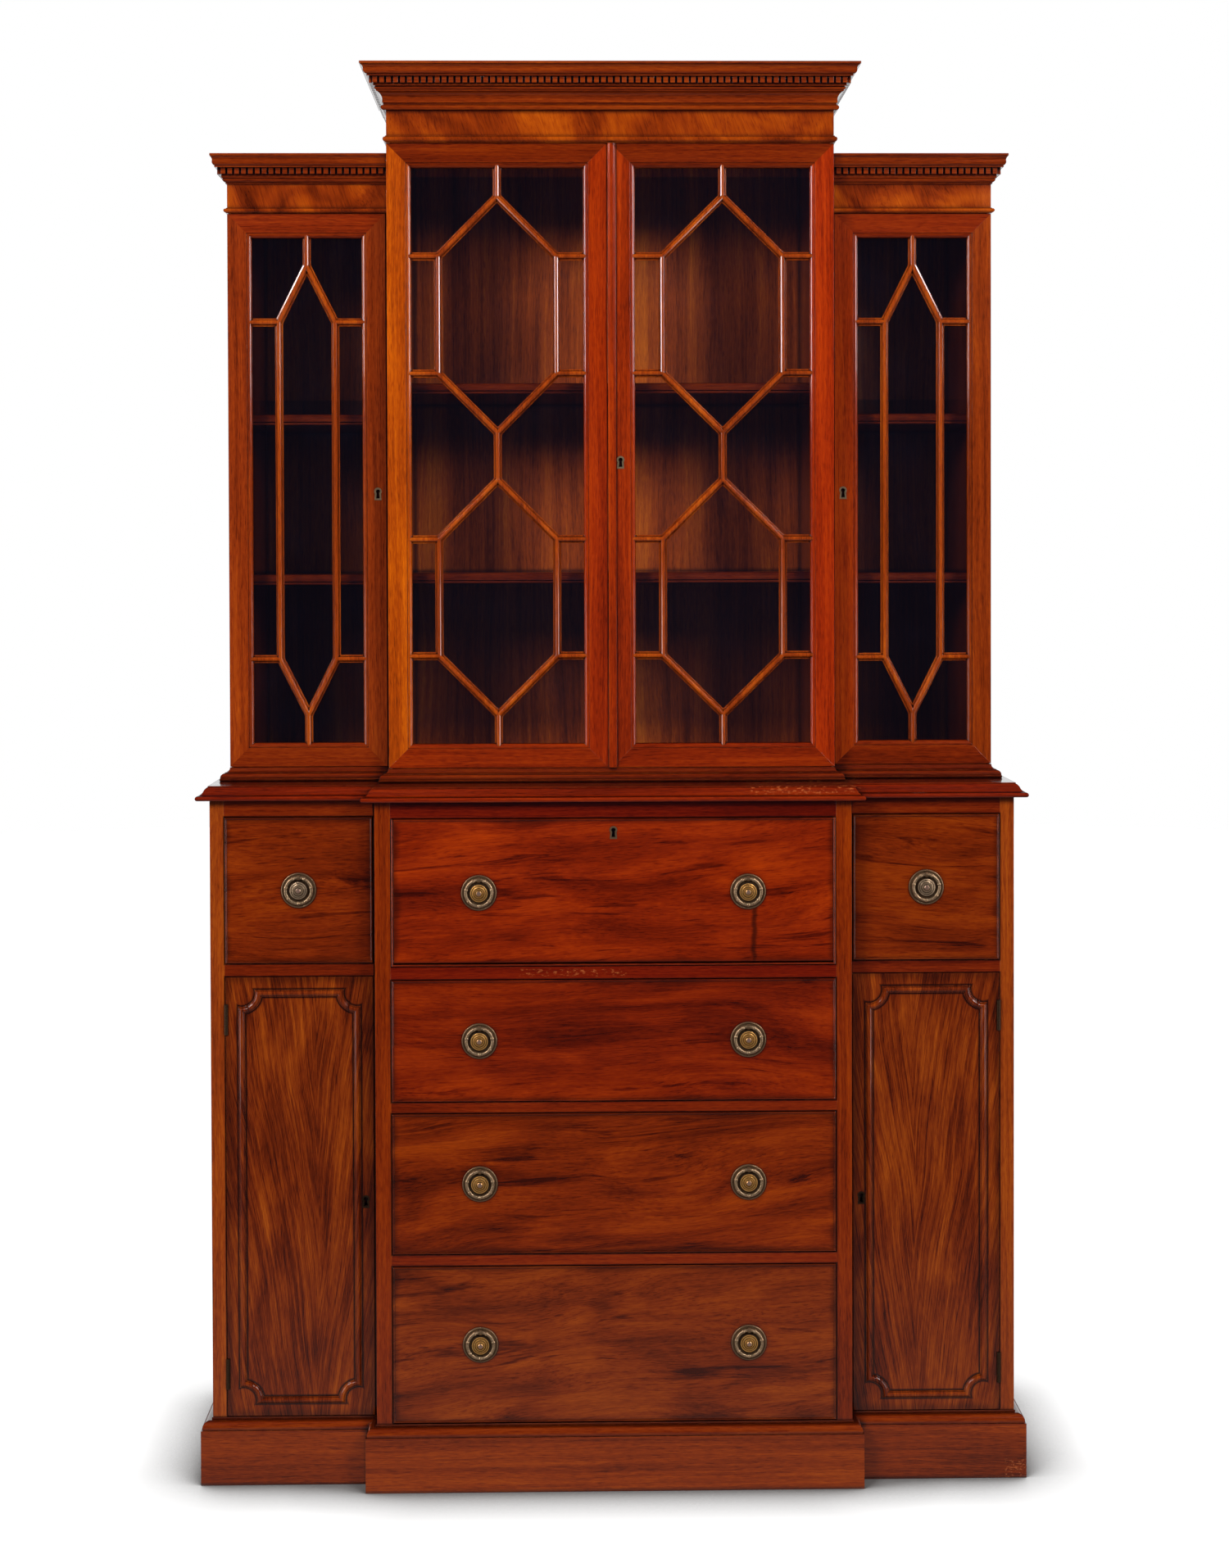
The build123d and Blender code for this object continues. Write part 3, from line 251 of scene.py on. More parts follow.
# Each figure: waves per metre along the grain and across it, then the detail and roughness of the noise
figure = {
    "drift": ((1.6, 6, 6), 2),
    "bands": ((0.7, 26, 26), 4, 0.65),
    "streaks": ((3.5, 230, 230), 3, 0.6),
    "flecks": ((70, 520, 520), 2, 0.6),
    "pores": ((45, 760, 760), 1),
    "sheen": ((5, 30, 30), 3),
    "waves": ((9, 45, 45), 2),
    "rub": ((60, 60, 60), 4, 0.7),
    "chips": ((150, 150, 420), 3, 0.7),
}

# What the figure multiplies the tone of the wood by, from dark to light
shades = [
    (0.05, (0.2, 0.16, 0.2)),
    (0.3, (0.56, 0.5, 0.55)),
    (0.5, (1, 1, 1)),
    (0.72, (1.5, 2.0, 1.4)),
    (0.95, (2.1, 3.3, 2.2)),
]
shadeScale = 3  # the ramp holds the shades divided by this
topShade = (0.25, 0.2, 0.2)  # what the painted shade on a top multiplies the colour by
gapShadeReach = (0.0012, 0.0032)  # a painted gap shadow is black to the first distance and gone at the second
# A pair is the stretch over which an effect comes or goes, in the value that it follows
# tops, corners and gaps drive painted shade, the corners wax too; the rest drive wear and the grain
wearAndShade = {
    "pores": (0.56, 0.66),
    "tops": (0.75, 0.95),
    "corners": (0.5, 1.0),
    "edges": (0.8, 0.985),
    "rub": (0.4, 0.66),
    "chips": (0.56, 0.62),
    "chipRim": (0.0, 0.004),
    "chipDepth": 0.6,
    "rimWander": 0.02,
    "gapShadeDepth": 0.85,
}
polish = {
    "bend": 1.5,
    "unevenness": 0.12,
    "coatRoughness": 0.06,
    "waves": 0.6,
    "pores": -0.03,
    "streaks": 0.25,
    "height": 0.0006,
}


def grainTint(tree, look, path, xyz, box):
    # the figure of the wood, from dark to light around 0.5
    bands, streaks, flecks, pores = [
        noise(tree, path, *figure[name]) for name in ("bands", "streaks", "flecks", "pores")
    ]
    pores = step(tree, pores, *wearAndShade["pores"])
    clouds = noise(tree, path, look["cloudSize"], twist=look["cloudTwist"])
    parts = [(bands, look["bands"]), (streaks, look["streaks"])]
    parts += [(flecks, look["flecks"]), (clouds, look["clouds"])]
    if "fan" in look:
        fan = look["fan"]
        plume = fanPath(tree, xyz, box, fan, look["seed"])
        parts.append((noise(tree, plume, *fan["feather"]), fan["depth"]))
        parts.append((noise(tree, plume, *fan["fineFeather"]), fan["fineDepth"]))
    tint = 0.5
    for value, depth in parts:
        tint = calc(tree, "ADD", tint, centred(tree, value, 2 * depth))
    tint = calc(tree, "SUBTRACT", tint, calc(tree, "MULTIPLY", pores, look["pores"]))
    if "smoke" in look:
        # dark figure, in thin wisps along the grain
        smoke = look["smoke"]
        wisps = step(tree, noise(tree, path, *smoke["wisps"]), smoke["from"], smoke["to"])
        tint = calc(tree, "SUBTRACT", tint, calc(tree, "MULTIPLY", wisps, smoke["depth"]))
    return tint, streaks, clouds, pores


def woodTone(tree, look, xyz, share, box):
    # one tone, or one for each member of a frame, and others below or beyond a limit
    if "members" in look:
        tone = memberTone(tree, xyz, share, box, [paint(*t) for t in look["members"]])
    else:
        tone = solid(look["tone"])
    if "lower" in look:
        limit, lowerTone = look["lower"]
        tone = blendColour(tree, calc(tree, "LESS_THAN", xyz[2], limit), tone, solid(lowerTone))
    if "outer" in look:
        limit, outerTone = look["outer"]
        outside = calc(tree, "GREATER_THAN", calc(tree, "ABSOLUTE", xyz[0]), limit)
        tone = blendColour(tree, outside, tone, solid(outerTone))
    return tone


def woodDirtAndShade(tree, look, xyz, box, clouds):
    # wax and dirt along the edges, wax and painted shade in the corners and beside the mouldings, and
    # painted shadow round the gaps
    inputs = {"Distance": look["dirtAndShadeReach"]}
    # wax, and painted shade where nearby wood hides a corner
    corner = put(tree, "AmbientOcclusion", inputs, samples=4, only_local=False).outputs["AO"]
    hidden = calc(tree, "SUBTRACT", 1.0, step(tree, corner, *wearAndShade["corners"]))
    layers = [calc(tree, "MULTIPLY", hidden, look["dirtAndShade"])]
    if "edgeReach" in look:
        fromSide, fromEnd = insideBox(tree, xyz, box)
        inside = calc(tree, "MINIMUM", fromSide, fromEnd)
        inside = calc(tree, "ADD", inside, centred(tree, clouds, wearAndShade["rimWander"]))
        rim = fade(tree, inside, 0.0, look["edgeReach"])
        layers.append(calc(tree, "MULTIPLY", rim, look["edgeDepth"]))
    if "panel" in look:
        # wax and painted shade beside the planted moulding
        lines = mouldingWaxAndShade(tree, xyz, box, look["panel"])
        layers.append(calc(tree, "MULTIPLY", lines, look["panel"]["depth"]))
    if "gaps" in look:
        # painted shadow round the gaps
        layers.append(calc(tree, "MULTIPLY", gapShadeLines(tree, xyz, look["gaps"]), wearAndShade["gapShadeDepth"]))
    if "stain" in look:
        # a dark run in the polish, below the right pull
        x, y, z = xyz
        stain = look["stain"]
        off = calc(tree, "SUBTRACT", x, stain["x"])
        off = calc(tree, "ADD", off, waver(tree, z, look["seed"], *stain["wander"]))
        run = fade(tree, calc(tree, "ABSOLUTE", off), *stain["width"])
        run = calc(tree, "MULTIPLY", run, fade(tree, z, *stain["top"]))
        layers.append(calc(tree, "MULTIPLY", run, stain["depth"]))
    dirtAndShade = layers[0]
    for layer in layers[1:]:
        dirtAndShade = calc(tree, "MAXIMUM", dirtAndShade, layer)
    return dirtAndShade


def shadedBack(tree, shadow, xyz, facing, colour):
    # painted shadow inside: the backs of the wings are darker, and so is what is under the shelves
    shaded = step(tree, calc(tree, "ABSOLUTE", xyz[0]), *shadow["wings"], 1.0, shadow["wingShadowLevel"])
    for low, high in shadow["levels"]:
        under = step(tree, xyz[2], *[low + reach for reach in shadow["start"]])
        band = calc(tree, "MULTIPLY", under, fade(tree, xyz[2], high, high + shadow["end"]))
        shaded = calc(tree, "MULTIPLY", shaded, calc(tree, "MULTIPLY_ADD", band, -shadow["depth"], 1.0))
    forwards = calc(tree, "LESS_THAN", facing, shadow["forwards"])
    inside = calc(tree, "MULTIPLY", forwards, calc(tree, "GREATER_THAN", xyz[2], shadow["above"]))
    shaded = step(tree, inside, 0.0, 1.0, 1.0, shaded)
    shaded = put(tree, "CombineXYZ", {0: shaded, 1: shaded, 2: shaded}).outputs[0]
    return vectorCalc(tree, "MULTIPLY", colour, shaded)


def mahogany(name, look, box=None):
    material, tree, shader = newMaterial(name)
    place = put(tree, "TexCoord").outputs["Object"]
    normal = put(tree, "NewGeometry").outputs["True Normal"]
    facing = put(tree, "SeparateXYZ", {0: normal}).outputs
    path, xyz, share = grainPath(tree, look["grain"], box, look["seed"])
    # slow drift of the grain across the board
    drift = centred(tree, noise(tree, path, *figure["drift"]), look["drift"])
    path = vectorCalc(tree, "ADD", path, put(tree, "CombineXYZ", {1: drift, 2: drift}).outputs[0])
    if "slant" in look:
        along = put(tree, "SeparateXYZ", {0: path}).outputs[0]
        lean = put(tree, "CombineXYZ", {1: calc(tree, "MULTIPLY", along, look["slant"])}).outputs[0]
        path = vectorCalc(tree, "ADD", path, lean)
    tint, streaks, clouds, pores = grainTint(tree, look, path, xyz, box)
    shade = ramp(tree, tint, [(stop, tuple(c / shadeScale for c in colour)) for stop, colour in shades])
    shade = vectorCalc(tree, "MULTIPLY", shade, (shadeScale, shadeScale, shadeScale))
    colour = blendColour(tree, 1.0, shade, woodTone(tree, look, xyz, share, box), "MULTIPLY")
    # painted shade: faces that look up are darker
    top = calc(tree, "MULTIPLY", step(tree, facing[2], *wearAndShade["tops"]), look["topDark"])
    colour = blendColour(tree, top, colour, vectorCalc(tree, "MULTIPLY", colour, topShade))
    # painted shadow on the inside of the back
    if "shadow" in look:
        colour = shadedBack(tree, look["shadow"], xyz, facing[1], colour)
    # wax, dirt and painted shade, blended into the colour
    dirtAndShade = woodDirtAndShade(tree, look, xyz, box, clouds)
    colour = blendColour(tree, dirtAndShade, colour, solid(look["dirtAndShadeTone"]))
    # polish rubbed thin on the edges
    rounded = put(tree, "Bevel", {"Radius": look["round"]}, samples=4).outputs[0]
    turn = put(tree, "VectorMath", {0: rounded, 1: normal}, operation="DOT_PRODUCT").outputs["Value"]
    rub = step(tree, noise(tree, place, *figure["rub"]), *wearAndShade["rub"])
    edge = calc(tree, "MULTIPLY", fade(tree, turn, *wearAndShade["edges"]), rub)
    edge = calc(tree, "MULTIPLY", edge, look["rubbed"])
    colour = blendColour(tree, edge, colour, solid(look["rubbedTone"]))
    if "scuffs" in look:
        chips = step(tree, noise(tree, place, *figure["chips"]), *wearAndShade["chips"])
        for low, high in look["scuffs"]:
            fromSide, fromEnd = insideBox(tree, xyz, ((low[0], 0, low[1]), (high[0], 0, high[1])))
            patch = step(tree, calc(tree, "MINIMUM", fromSide, fromEnd), *wearAndShade["chipRim"])
            patch = calc(tree, "MULTIPLY", calc(tree, "MULTIPLY", patch, chips), wearAndShade["chipDepth"])
            colour = blendColour(tree, patch, colour, solid(look["rubbedTone"]))
    tree.links.new(colour, shader.inputs["Base Color"])
    # polish: a little uneven, with pores showing through
    uneven = polish["unevenness"]
    sheen = noise(tree, path, *figure["sheen"])
    rough = calc(tree, "MULTIPLY_ADD", sheen, uneven, look["roughness"] - uneven / 2)
    tree.links.new(rough, shader.inputs["Roughness"])
    shader.inputs["IOR"].default_value = polish["bend"]
    shader.inputs["Coat Weight"].default_value = look["coat"]
    shader.inputs["Coat Roughness"].default_value = polish["coatRoughness"]
    height = calc(tree, "MULTIPLY", noise(tree, path, *figure["waves"]), polish["waves"])
    height = calc(tree, "ADD", height, calc(tree, "MULTIPLY", pores, polish["pores"]))
    height = calc(tree, "ADD", height, calc(tree, "MULTIPLY", streaks, polish["streaks"]))
    inputs = {"Strength": look["bump"], "Distance": polish["height"], "Height": height, "Normal": rounded}
    tree.links.new(put(tree, "Bump", inputs).outputs[0], shader.inputs["Normal"])
    return material


# What every mahogany piece starts from
plainWood = {
    "tone": (122, 42, 12),
    "grain": "up",
    "drift": 0.03,
    "bands": 0.42,
    "streaks": 0.26,
    "flecks": 0.2,
    "pores": 0.14,
    "clouds": 0.16,
    "cloudSize": (3, 9, 9),
    "cloudTwist": 0.6,
    "dirtAndShade": 1.0,
    "dirtAndShadeReach": 0.007,
    "dirtAndShadeTone": (26, 6, 3),
    "rubbed": 0.4,
    "rubbedTone": (196, 104, 52),
    "roughness": 0.15,
    "coat": 0.4,
    "round": 0.0006,
    "bump": 0.2,
    "topDark": 0.8,
}


def wood(name, nodeNames, look, box=None):
    material = mahogany(name, dict(plainWood, **look), box)
    for nodeName in nodeNames:
        dress(nodeName, material)


gaps = [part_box(n) for n in nodes if n.endswith(("_front", "_cupboard_door"))]
gaps.append(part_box("secretaire_fall"))
# light chips in the polish: on the rail under the top drawer, on the waist, on the plinth's corner
scuffs = [
    ((-0.14, 0.756), (0.02, 0.77)),
    ((0.2, 1.024), (0.37, 1.04)),
    ((0.58, 0.0), (0.62, 0.03)),
]
# Painted shadow on the back: in the wings, and in three bands of height, each under a shelf or a top
backShadow = {
    "wings": (0.33, 0.34),
    "wingShadowLevel": 0.35,
    "levels": [(1.09, 1.34), (1.56, 1.63), (1.91, 1.995)],
    "start": (-0.05, 0.03),
    "end": 0.004,
    "depth": 0.65,
    "above": 1.045,
    "forwards": -0.5,
}
carcaseWoods = {
    "plinthWood": (
        ["plinth"],
        {"tone": (138, 49, 4), "scuffs": scuffs, "grain": "wrap", "seed": 2.0, "roughness": 0.22},
    ),
    "plinthMouldingWood": (
        ["plinth_moulding"],
        {"tone": (120, 38, 3), "grain": "wrap", "seed": 3.0, "dirtAndShadeReach": 0.012},
    ),
    "uprightWood": (
        ["lower_uprights"],
        {"tone": (129, 41, 2), "outer": (0.45, (145, 58, 12)), "seed": 4.0, "gaps": gaps},
    ),
    "dividerWood": (
        ["lower_dividers"],
        {
            "tone": (107, 19, 1),
            "lower": (0.66, (122, 34, 3)),
            "outer": (0.35, (116, 33, 4)),
            "grain": "across",
            "seed": 5.0,
            "gaps": gaps,
            "scuffs": scuffs,
        },
    ),
    "backWood": (
        ["back_boards"],
        {
            "tone": (200, 84, 16),
            "seed": 6.0,
            "roughness": 0.4,
            "coat": 0.0,
            "bands": 0.7,
            "drift": 0.05,
            "shadow": backShadow,
        },
    ),
    "waistWood": (
        ["waist_top"],
        {
            "tone": (122, 29, 1),
            "grain": "wrap",
            "seed": 7.0,
            "dirtAndShadeReach": 0.026,
            "scuffs": scuffs,
            "topDark": 0.97,
        },
    ),
    "upperBaseWood": (
        ["upper_base_moulding"],
        {"tone": (112, 31, 3), "grain": "wrap", "seed": 8.0, "dirtAndShadeReach": 0.026},
    ),
    "upperCaseWood": (
        ["upper_case_boards"],
        {"tone": (126, 42, 6), "grain": "carcase", "seed": 9.0},
    ),
    "shelfWood": (
        ["shelves"],
        {"tone": (112, 34, 4), "grain": "across", "seed": 10.0},
    ),
    "corniceWood": (
        ["cornices"],
        {"tone": (128, 43, 3), "grain": "wrap", "seed": 11.0, "dirtAndShadeReach": 0.0065, "rubbed": 0.0},
    ),
}
for name, (nodeNames, look) in carcaseWoods.items():
    wood(name, nodeNames, look)
print("carcase dressed")


# Frieze veneer is laid with its grain upright, and its figure crosses it
friezeLook = {
    "tone": (137, 48, 2),
    "seed": 21.0,
    "drift": 0.12,
    "clouds": 0.8,
    "cloudSize": (7, 8.5, 8.5),
    "cloudTwist": 1.4,
    "slant": 0.35,
    "bands": 0.1,
    "streaks": 0.18,
    "flecks": 0.14,
}
wood("friezeVeneer", ["friezes"], friezeLook)

# Glazed doors: tones of the left, right, top and bottom member
doorTones = {
    "centre_left_door": [(172, 69, 1), (146, 39, 1), (112, 32, 1), (135, 37, 1)],
    "centre_right_door": [(150, 43, 2), (155, 41, 1), (112, 32, 1), (131, 35, 1)],
    "left_wing_door": [(142, 50, 8), (142, 52, 9), (128, 38, 4), (124, 38, 4)],
    "right_wing_door": [(144, 44, 2), (138, 50, 5), (122, 34, 3), (122, 36, 3)],
}
frameStart = 0.0005  # where the frame of the right centre door starts, beside its cover strip
for number, (door, tones) in enumerate(doorTones.items()):
    low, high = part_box(door + "_frame")
    if door == "centre_right_door":
        low.x = frameStart
    look = {"grain": "frame", "members": tones, "seed": 31.0 + number, "dirtAndShadeReach": 0.004}
    wood(door + "Wood", [door + "_frame"], look, (low, high))
    look = {"tone": (158, 62, 8), "seed": 41.0 + number, "dirtAndShadeReach": 0.003, "rubbed": 0.1}
    wood(door + "BarWood", [door + "_bars"], look)
print("glazed doors dressed")

# Drawer fronts: figured veneer, darker towards the cock beads. The wisps are a figure, with its twist last
drawerLook = {
    "grain": "across",
    "drift": 0.11,
    "clouds": 0.42,
    "cloudSize": (4, 15, 15),
    "cloudTwist": 1.2,
    "bands": 0.34,
    "streaks": 0.19,
    "smoke": {"wisps": ((4.5, 62, 62), 3, 0.55, 1.1), "from": 0.59, "to": 0.7, "depth": 0.27},
    "edgeReach": 0.011,
    "edgeDepth": 0.6,
    "dirtAndShadeTone": (44, 10, 2),
}
veneers = {
    "left_wing_drawer_front": {"tone": (122, 38, 3), "slant": -0.05},
    "right_wing_drawer_front": {"tone": (120, 38, 3), "slant": 0.07},
    "secretaire_fall": {"tone": (132, 33, 1), "slant": -0.08},
    "long_drawer_1_front": {"tone": (122, 30, 1), "slant": -0.04},
    "long_drawer_2_front": {"tone": (127, 40, 2), "slant": -0.1},
    "long_drawer_3_front": {"tone": (126, 45, 7), "slant": -0.07},
}
# A run in the polish: it is full to the first width and height, and gone at the second
runInPolish = {
    "x": 0.207,
    "width": (0.001, 0.006),
    "top": (0.858, 0.864),
    "wander": (60, 3, 0.012),  # waves per metre, detail and width
    "depth": 0.75,
}
for number, (nodeName, veneer) in enumerate(veneers.items()):
    look = dict(drawerLook, **veneer, seed=51.0 + 1.7 * number)
    if nodeName == "secretaire_fall":
        look["stain"] = runInPolish
    wood(nodeName + "Wood", [nodeName], look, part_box(nodeName))

# Cupboard doors: crotch veneer
cupboardLook = {
    "tone": (121, 43, 7),
    "clouds": 0.45,
    "cloudSize": (7, 22, 22),
    "bands": 0.06,
    "streaks": 0.1,
    "panel": {
        "inset": 0.02375,
        "corner": 0.025,
        "width": 0.0105,
        "waxAndShade": (-0.0008, 0.0002, 0.001, 0.004),  # from the moulding's edge: start, full, thinner, end
        "depth": 0.9,
    },
    "edgeReach": 0.016,
    "edgeDepth": 0.5,
    "dirtAndShadeReach": 0.0035,
    "dirtAndShadeTone": (34, 9, 3),
}
feathers = {
    "rise": 4.2,
    "curve": 0.8,
    "blunt": 0.002,
    "wander": (4, 1, 0.022),  # waves per metre, detail and width
    "feather": ((30, 30, 1), 4, 0.62, 0.5),  # as a figure, with its twist last
    "depth": 0.62,
    "fineFeather": ((130, 70, 1), 3, 0.6, 0.3),
    "fineDepth": 0.45,
}
fanMiddles = {"left_cupboard_door": 0.62, "right_cupboard_door": 0.42}  # as a share of the width
for number, (nodeName, middle) in enumerate(fanMiddles.items()):
    look = dict(cupboardLook, seed=71.0 + number, fan=dict(feathers, middle=middle))
    wood(nodeName + "Wood", [nodeName], look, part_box(nodeName))
print("drawer fronts and cupboard doors dressed")

# Drawer linings
liningLook = {
    "tone": (172, 124, 78),
    "grain": "wrap",
    "seed": 81.0,
    "roughness": 0.6,
    "coat": 0.0,
    "dirtAndShadeTone": (90, 60, 36),
    "dirtAndShade": 0.5,
    "bands": 0.22,
    "clouds": 0.1,
}
boxes = [n for n in nodes if n.endswith("_box") and n != "secretaire_box"]
wood("liningWood", boxes, liningLook)
wood("secretaireWood", ["secretaire_box"], {"tone": (120, 34, 3), "grain": "wrap", "seed": 82.0})


# Brass: lacquer worn off the high places, dark in the hollows
def fromMiddle(tree, place, plate):
    # distance from the middle of the nearest plate of a pull
    low, high = plate
    radius = (high.z - low.z) / 2
    x, y, z = put(tree, "SeparateXYZ", {0: place}).outputs
    paired = high.x - low.x > 3 * radius
    side = calc(tree, "ABSOLUTE", x) if paired else x
    middle = high.x - radius if paired else (low.x + high.x) / 2
    across = calc(tree, "SUBTRACT", side, middle)
    up = calc(tree, "SUBTRACT", z, (low.z + high.z) / 2)
    flat = put(tree, "CombineXYZ", {0: across, 1: up}).outputs[0]
    return put(tree, "VectorMath", {0: flat}, operation="LENGTH").outputs["Value"]


brassGrain = {
    "metal": 0.8,
    "mottle": ((160, 160, 160), 4, 0.6),
    "spots": ((700, 700, 700), 2),
    "toneLevels": (0.35, 0.7),
    "corners": (0.3, 1.0),
    "mottleDark": 0.5,
    "rimFade": 0.001,
    "rimDark": 0.9,
    "line": (0.0003, 0.001),
    "lineDark": 0.8,
    "unevenness": 0.2,
    "darkRoughness": 0.2,
    "bump": 0.3,
    "height": 0.0002,
}
soft = 0.0004  # half the width of the change from one zone of a plate to the next


def brass(name, nodeNames, look, plate=None):
    material, tree, shader = newMaterial(name)
    place = put(tree, "TexCoord").outputs["Object"]
    mottle = noise(tree, place, *brassGrain["mottle"])
    spots = noise(tree, place, *brassGrain["spots"])
    corner = put(tree, "AmbientOcclusion", {"Distance": look["reach"]}, samples=4).outputs["AO"]
    dark = calc(tree, "SUBTRACT", 1.0, step(tree, corner, *brassGrain["corners"]))
    dark = calc(tree, "MULTIPLY", dark, look["dark"])
    dark = calc(tree, "ADD", dark, centred(tree, mottle, brassGrain["mottleDark"]), clamp=True)
    tones = [paint(*look["tone"]), paint(*look["light"])]
    metal = ramp(tree, spots, list(zip(brassGrain["toneLevels"], tones)))
    if plate:
        distance = fromMiddle(tree, place, plate)
        outside = step(tree, distance, look["boss"] - soft, look["boss"] + soft)
        metal = blendColour(tree, outside, metal, solid(look["rimTone"]))
        hollow = fade(tree, distance, look["rim"], look["rim"] + brassGrain["rimFade"])
        hollow = calc(tree, "MULTIPLY", outside, hollow)
        dark = calc(tree, "MAXIMUM", dark, calc(tree, "MULTIPLY", hollow, brassGrain["rimDark"]))
        rosette = fade(tree, distance, look["rosette"] - soft, look["rosette"] + soft)
        metal = blendColour(tree, rosette, metal, solid(look["rosetteTone"]))
        for ring in look["rings"]:
            line = calc(tree, "ABSOLUTE", calc(tree, "SUBTRACT", distance, ring))
            line = step(tree, line, *brassGrain["line"], brassGrain["lineDark"], 0.0)
            dark = calc(tree, "MAXIMUM", dark, line)
    colour = blendColour(tree, dark, metal, solid(look["patina"]))
    tree.links.new(colour, shader.inputs["Base Color"])
    uneven = brassGrain["unevenness"]
    rough = calc(tree, "MULTIPLY_ADD", mottle, uneven, look["roughness"] - uneven / 2)
    rough = calc(tree, "ADD", rough, calc(tree, "MULTIPLY", dark, brassGrain["darkRoughness"]))
    tree.links.new(rough, shader.inputs["Roughness"])
    shader.inputs["Metallic"].default_value = brassGrain["metal"]
    inputs = {"Strength": brassGrain["bump"], "Distance": brassGrain["height"], "Height": mottle}
    tree.links.new(put(tree, "Bump", inputs).outputs[0], shader.inputs["Normal"])
    for nodeName in nodeNames:
        dress(nodeName, material)


plateLook = {
    "tone": (230, 162, 78),
    "light": (250, 200, 120),
    "rimTone": (160, 130, 98),
    "patina": (44, 28, 18),
    "dark": 0.5,
    "reach": 0.004,
    "roughness": 0.34,
    "boss": 0.0128,
    "rim": 0.0142,
    "rings": (0.0046, 0.0078, 0.0106),
    "rosette": 0.0034,
    "rosetteTone": (206, 168, 146),
}
ringLook = {
    "tone": (164, 132, 98),
    "light": (224, 196, 158),
    "patina": (58, 42, 30),
    "dark": 0.6,
    "reach": 0.0015,
    "roughness": 0.36,
}
liningBrassLook = {
    "tone": (168, 146, 110),
    "light": (196, 174, 136),
    "patina": (70, 54, 34),
    "dark": 0.6,
    "reach": 0.002,
    "roughness": 0.35,
}
bronzeLook = {
    "tone": (62, 46, 34),
    "light": (92, 70, 48),
    "patina": (28, 19, 13),
    "dark": 0.7,
    "reach": 0.003,
    "roughness": 0.42,
}
greyedLook = dict(plateLook, tone=(176, 148, 116), light=(214, 190, 158))  # bosses of the wing drawers
for nodeName in [n for n in nodes if n.endswith("_plates")]:
    look = greyedLook if "wing" in nodeName else plateLook
    brass(nodeName + "Brass", [nodeName], look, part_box(nodeName))
brass("ringBrass", [n for n in nodes if n.endswith("_ring")], ringLook)
brass("doorBrass", [n for n in nodes if n.endswith("_door_brass")], liningBrassLook)
pulls = (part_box("secretaire_left_ring")[0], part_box("secretaire_right_ring")[1])
brass("secretaireBrass", ["secretaire_brass"], plateLook, pulls)
brass("bronzedBrass", ["case_hinges", "left_cupboard_brass", "right_cupboard_brass"], bronzeLook)
print("brass dressed")


# Glass: old panes, a little wavy, with a trace of dust, tinted blue as a painted reflection
glassLook = {
    "clear": (0.9, 0.92, 0.92),
    "shine": 1.9,
    "bend": 1.5,
    "waves": ((5, 5, 3.5), 1),
    "waveDepth": 0.08,
    "waveHeight": 0.002,
    "polish": 0.004,
    "specks": ((18, 18, 18), 4, 0.65),
    "speckLevels": (0.45, 0.8),
    "dustShine": 0.06,
    "dust": 0.011,
    "evenDust": 0.6,
    "dustRoughness": 0.8,
    "dustTone": (0.2, 0.2, 0.46),
}


def makeGlass():
    material, tree, shader = newMaterial("oldGlass")
    place = put(tree, "TexCoord").outputs["Object"]
    dusty = step(tree, noise(tree, place, *glassLook["specks"]), *glassLook["speckLevels"])
    shader.inputs["Base Color"].default_value = (*glassLook["dustTone"], 1)
    shader.inputs["Specular IOR Level"].default_value = 0.0
    shader.inputs["Roughness"].default_value = glassLook["dustRoughness"]
    waves = noise(tree, place, *glassLook["waves"])
    inputs = {"Strength": glassLook["waveDepth"], "Distance": glassLook["waveHeight"], "Height": waves}
    bump = put(tree, "Bump", inputs)
    rough = calc(tree, "MULTIPLY_ADD", dusty, glassLook["dustShine"], glassLook["polish"])
    mirror = put(tree, "BsdfAnisotropic", {"Roughness": rough, "Normal": bump.outputs[0]})
    clear = put(tree, "BsdfTransparent", {0: (*glassLook["clear"], 1)})
    front = calc(tree, "SUBTRACT", 1.0, put(tree, "NewGeometry").outputs["Backfacing"])
    shine = put(tree, "Fresnel", {"IOR": glassLook["bend"]})
    shine = calc(tree, "MULTIPLY", shine.outputs[0], front)
    shine = calc(tree, "MULTIPLY", shine, glassLook["shine"], clamp=True)
    pane = put(tree, "MixShader", {0: shine, 1: clear.outputs[0], 2: mirror.outputs[0]})
    # a veil of dust, its blue a painted reflection
    even = glassLook["evenDust"]
    veil = calc(tree, "MULTIPLY", calc(tree, "MULTIPLY_ADD", dusty, 1 - even, even), front)
    veil = calc(tree, "MULTIPLY", veil, glassLook["dust"])
    mixed = put(tree, "MixShader", {0: veil, 1: pane.outputs[0], 2: shader.outputs[0]})
    out = next(n for n in tree.nodes if n.type == "OUTPUT_MATERIAL")
    tree.links.new(mixed.outputs[0], out.inputs[0])
    for name in nodes:
        if name.endswith("_glass"):
            dress(name, material)


makeGlass()
print("glass dressed")


# Studio: pale floor with a painted shadow, white surroundings, soft lamps, and a dark side for the
# reflections
studio = {
    "floorSize": 9.0,
    "floorTone": (0.2, 0.2, 0.198),
    "floorRoughness": 0.6,
    "speckles": ((40, 40, 40), 3),
    "speckleLevels": (0.3, 0.7),
    "speckleTone": 0.985,
    "floorGlow": 0.96,
    "shadeReach": 0.13,
    "shadeDepth": 2.1,
    "surroundLight": 0.3,
    "nearFloor": (0.17, 0.16, 0.16),
    "nearReach": (-1.9, -0.1),
    "nearHeight": (0.01, 0.02),
    "farTones": ((0.008, 0.005, 0.01), (0.034, 0.02, 0.04)),
    "farPatches": ((0.5, 0.5, 0.5), 2),
    "farLevels": (0.3, 0.75),
    "farRadius": 6.5,
    "farHeight": 5.0,
    "farOpening": -1.2,
    "farGap": 0.0015,
}


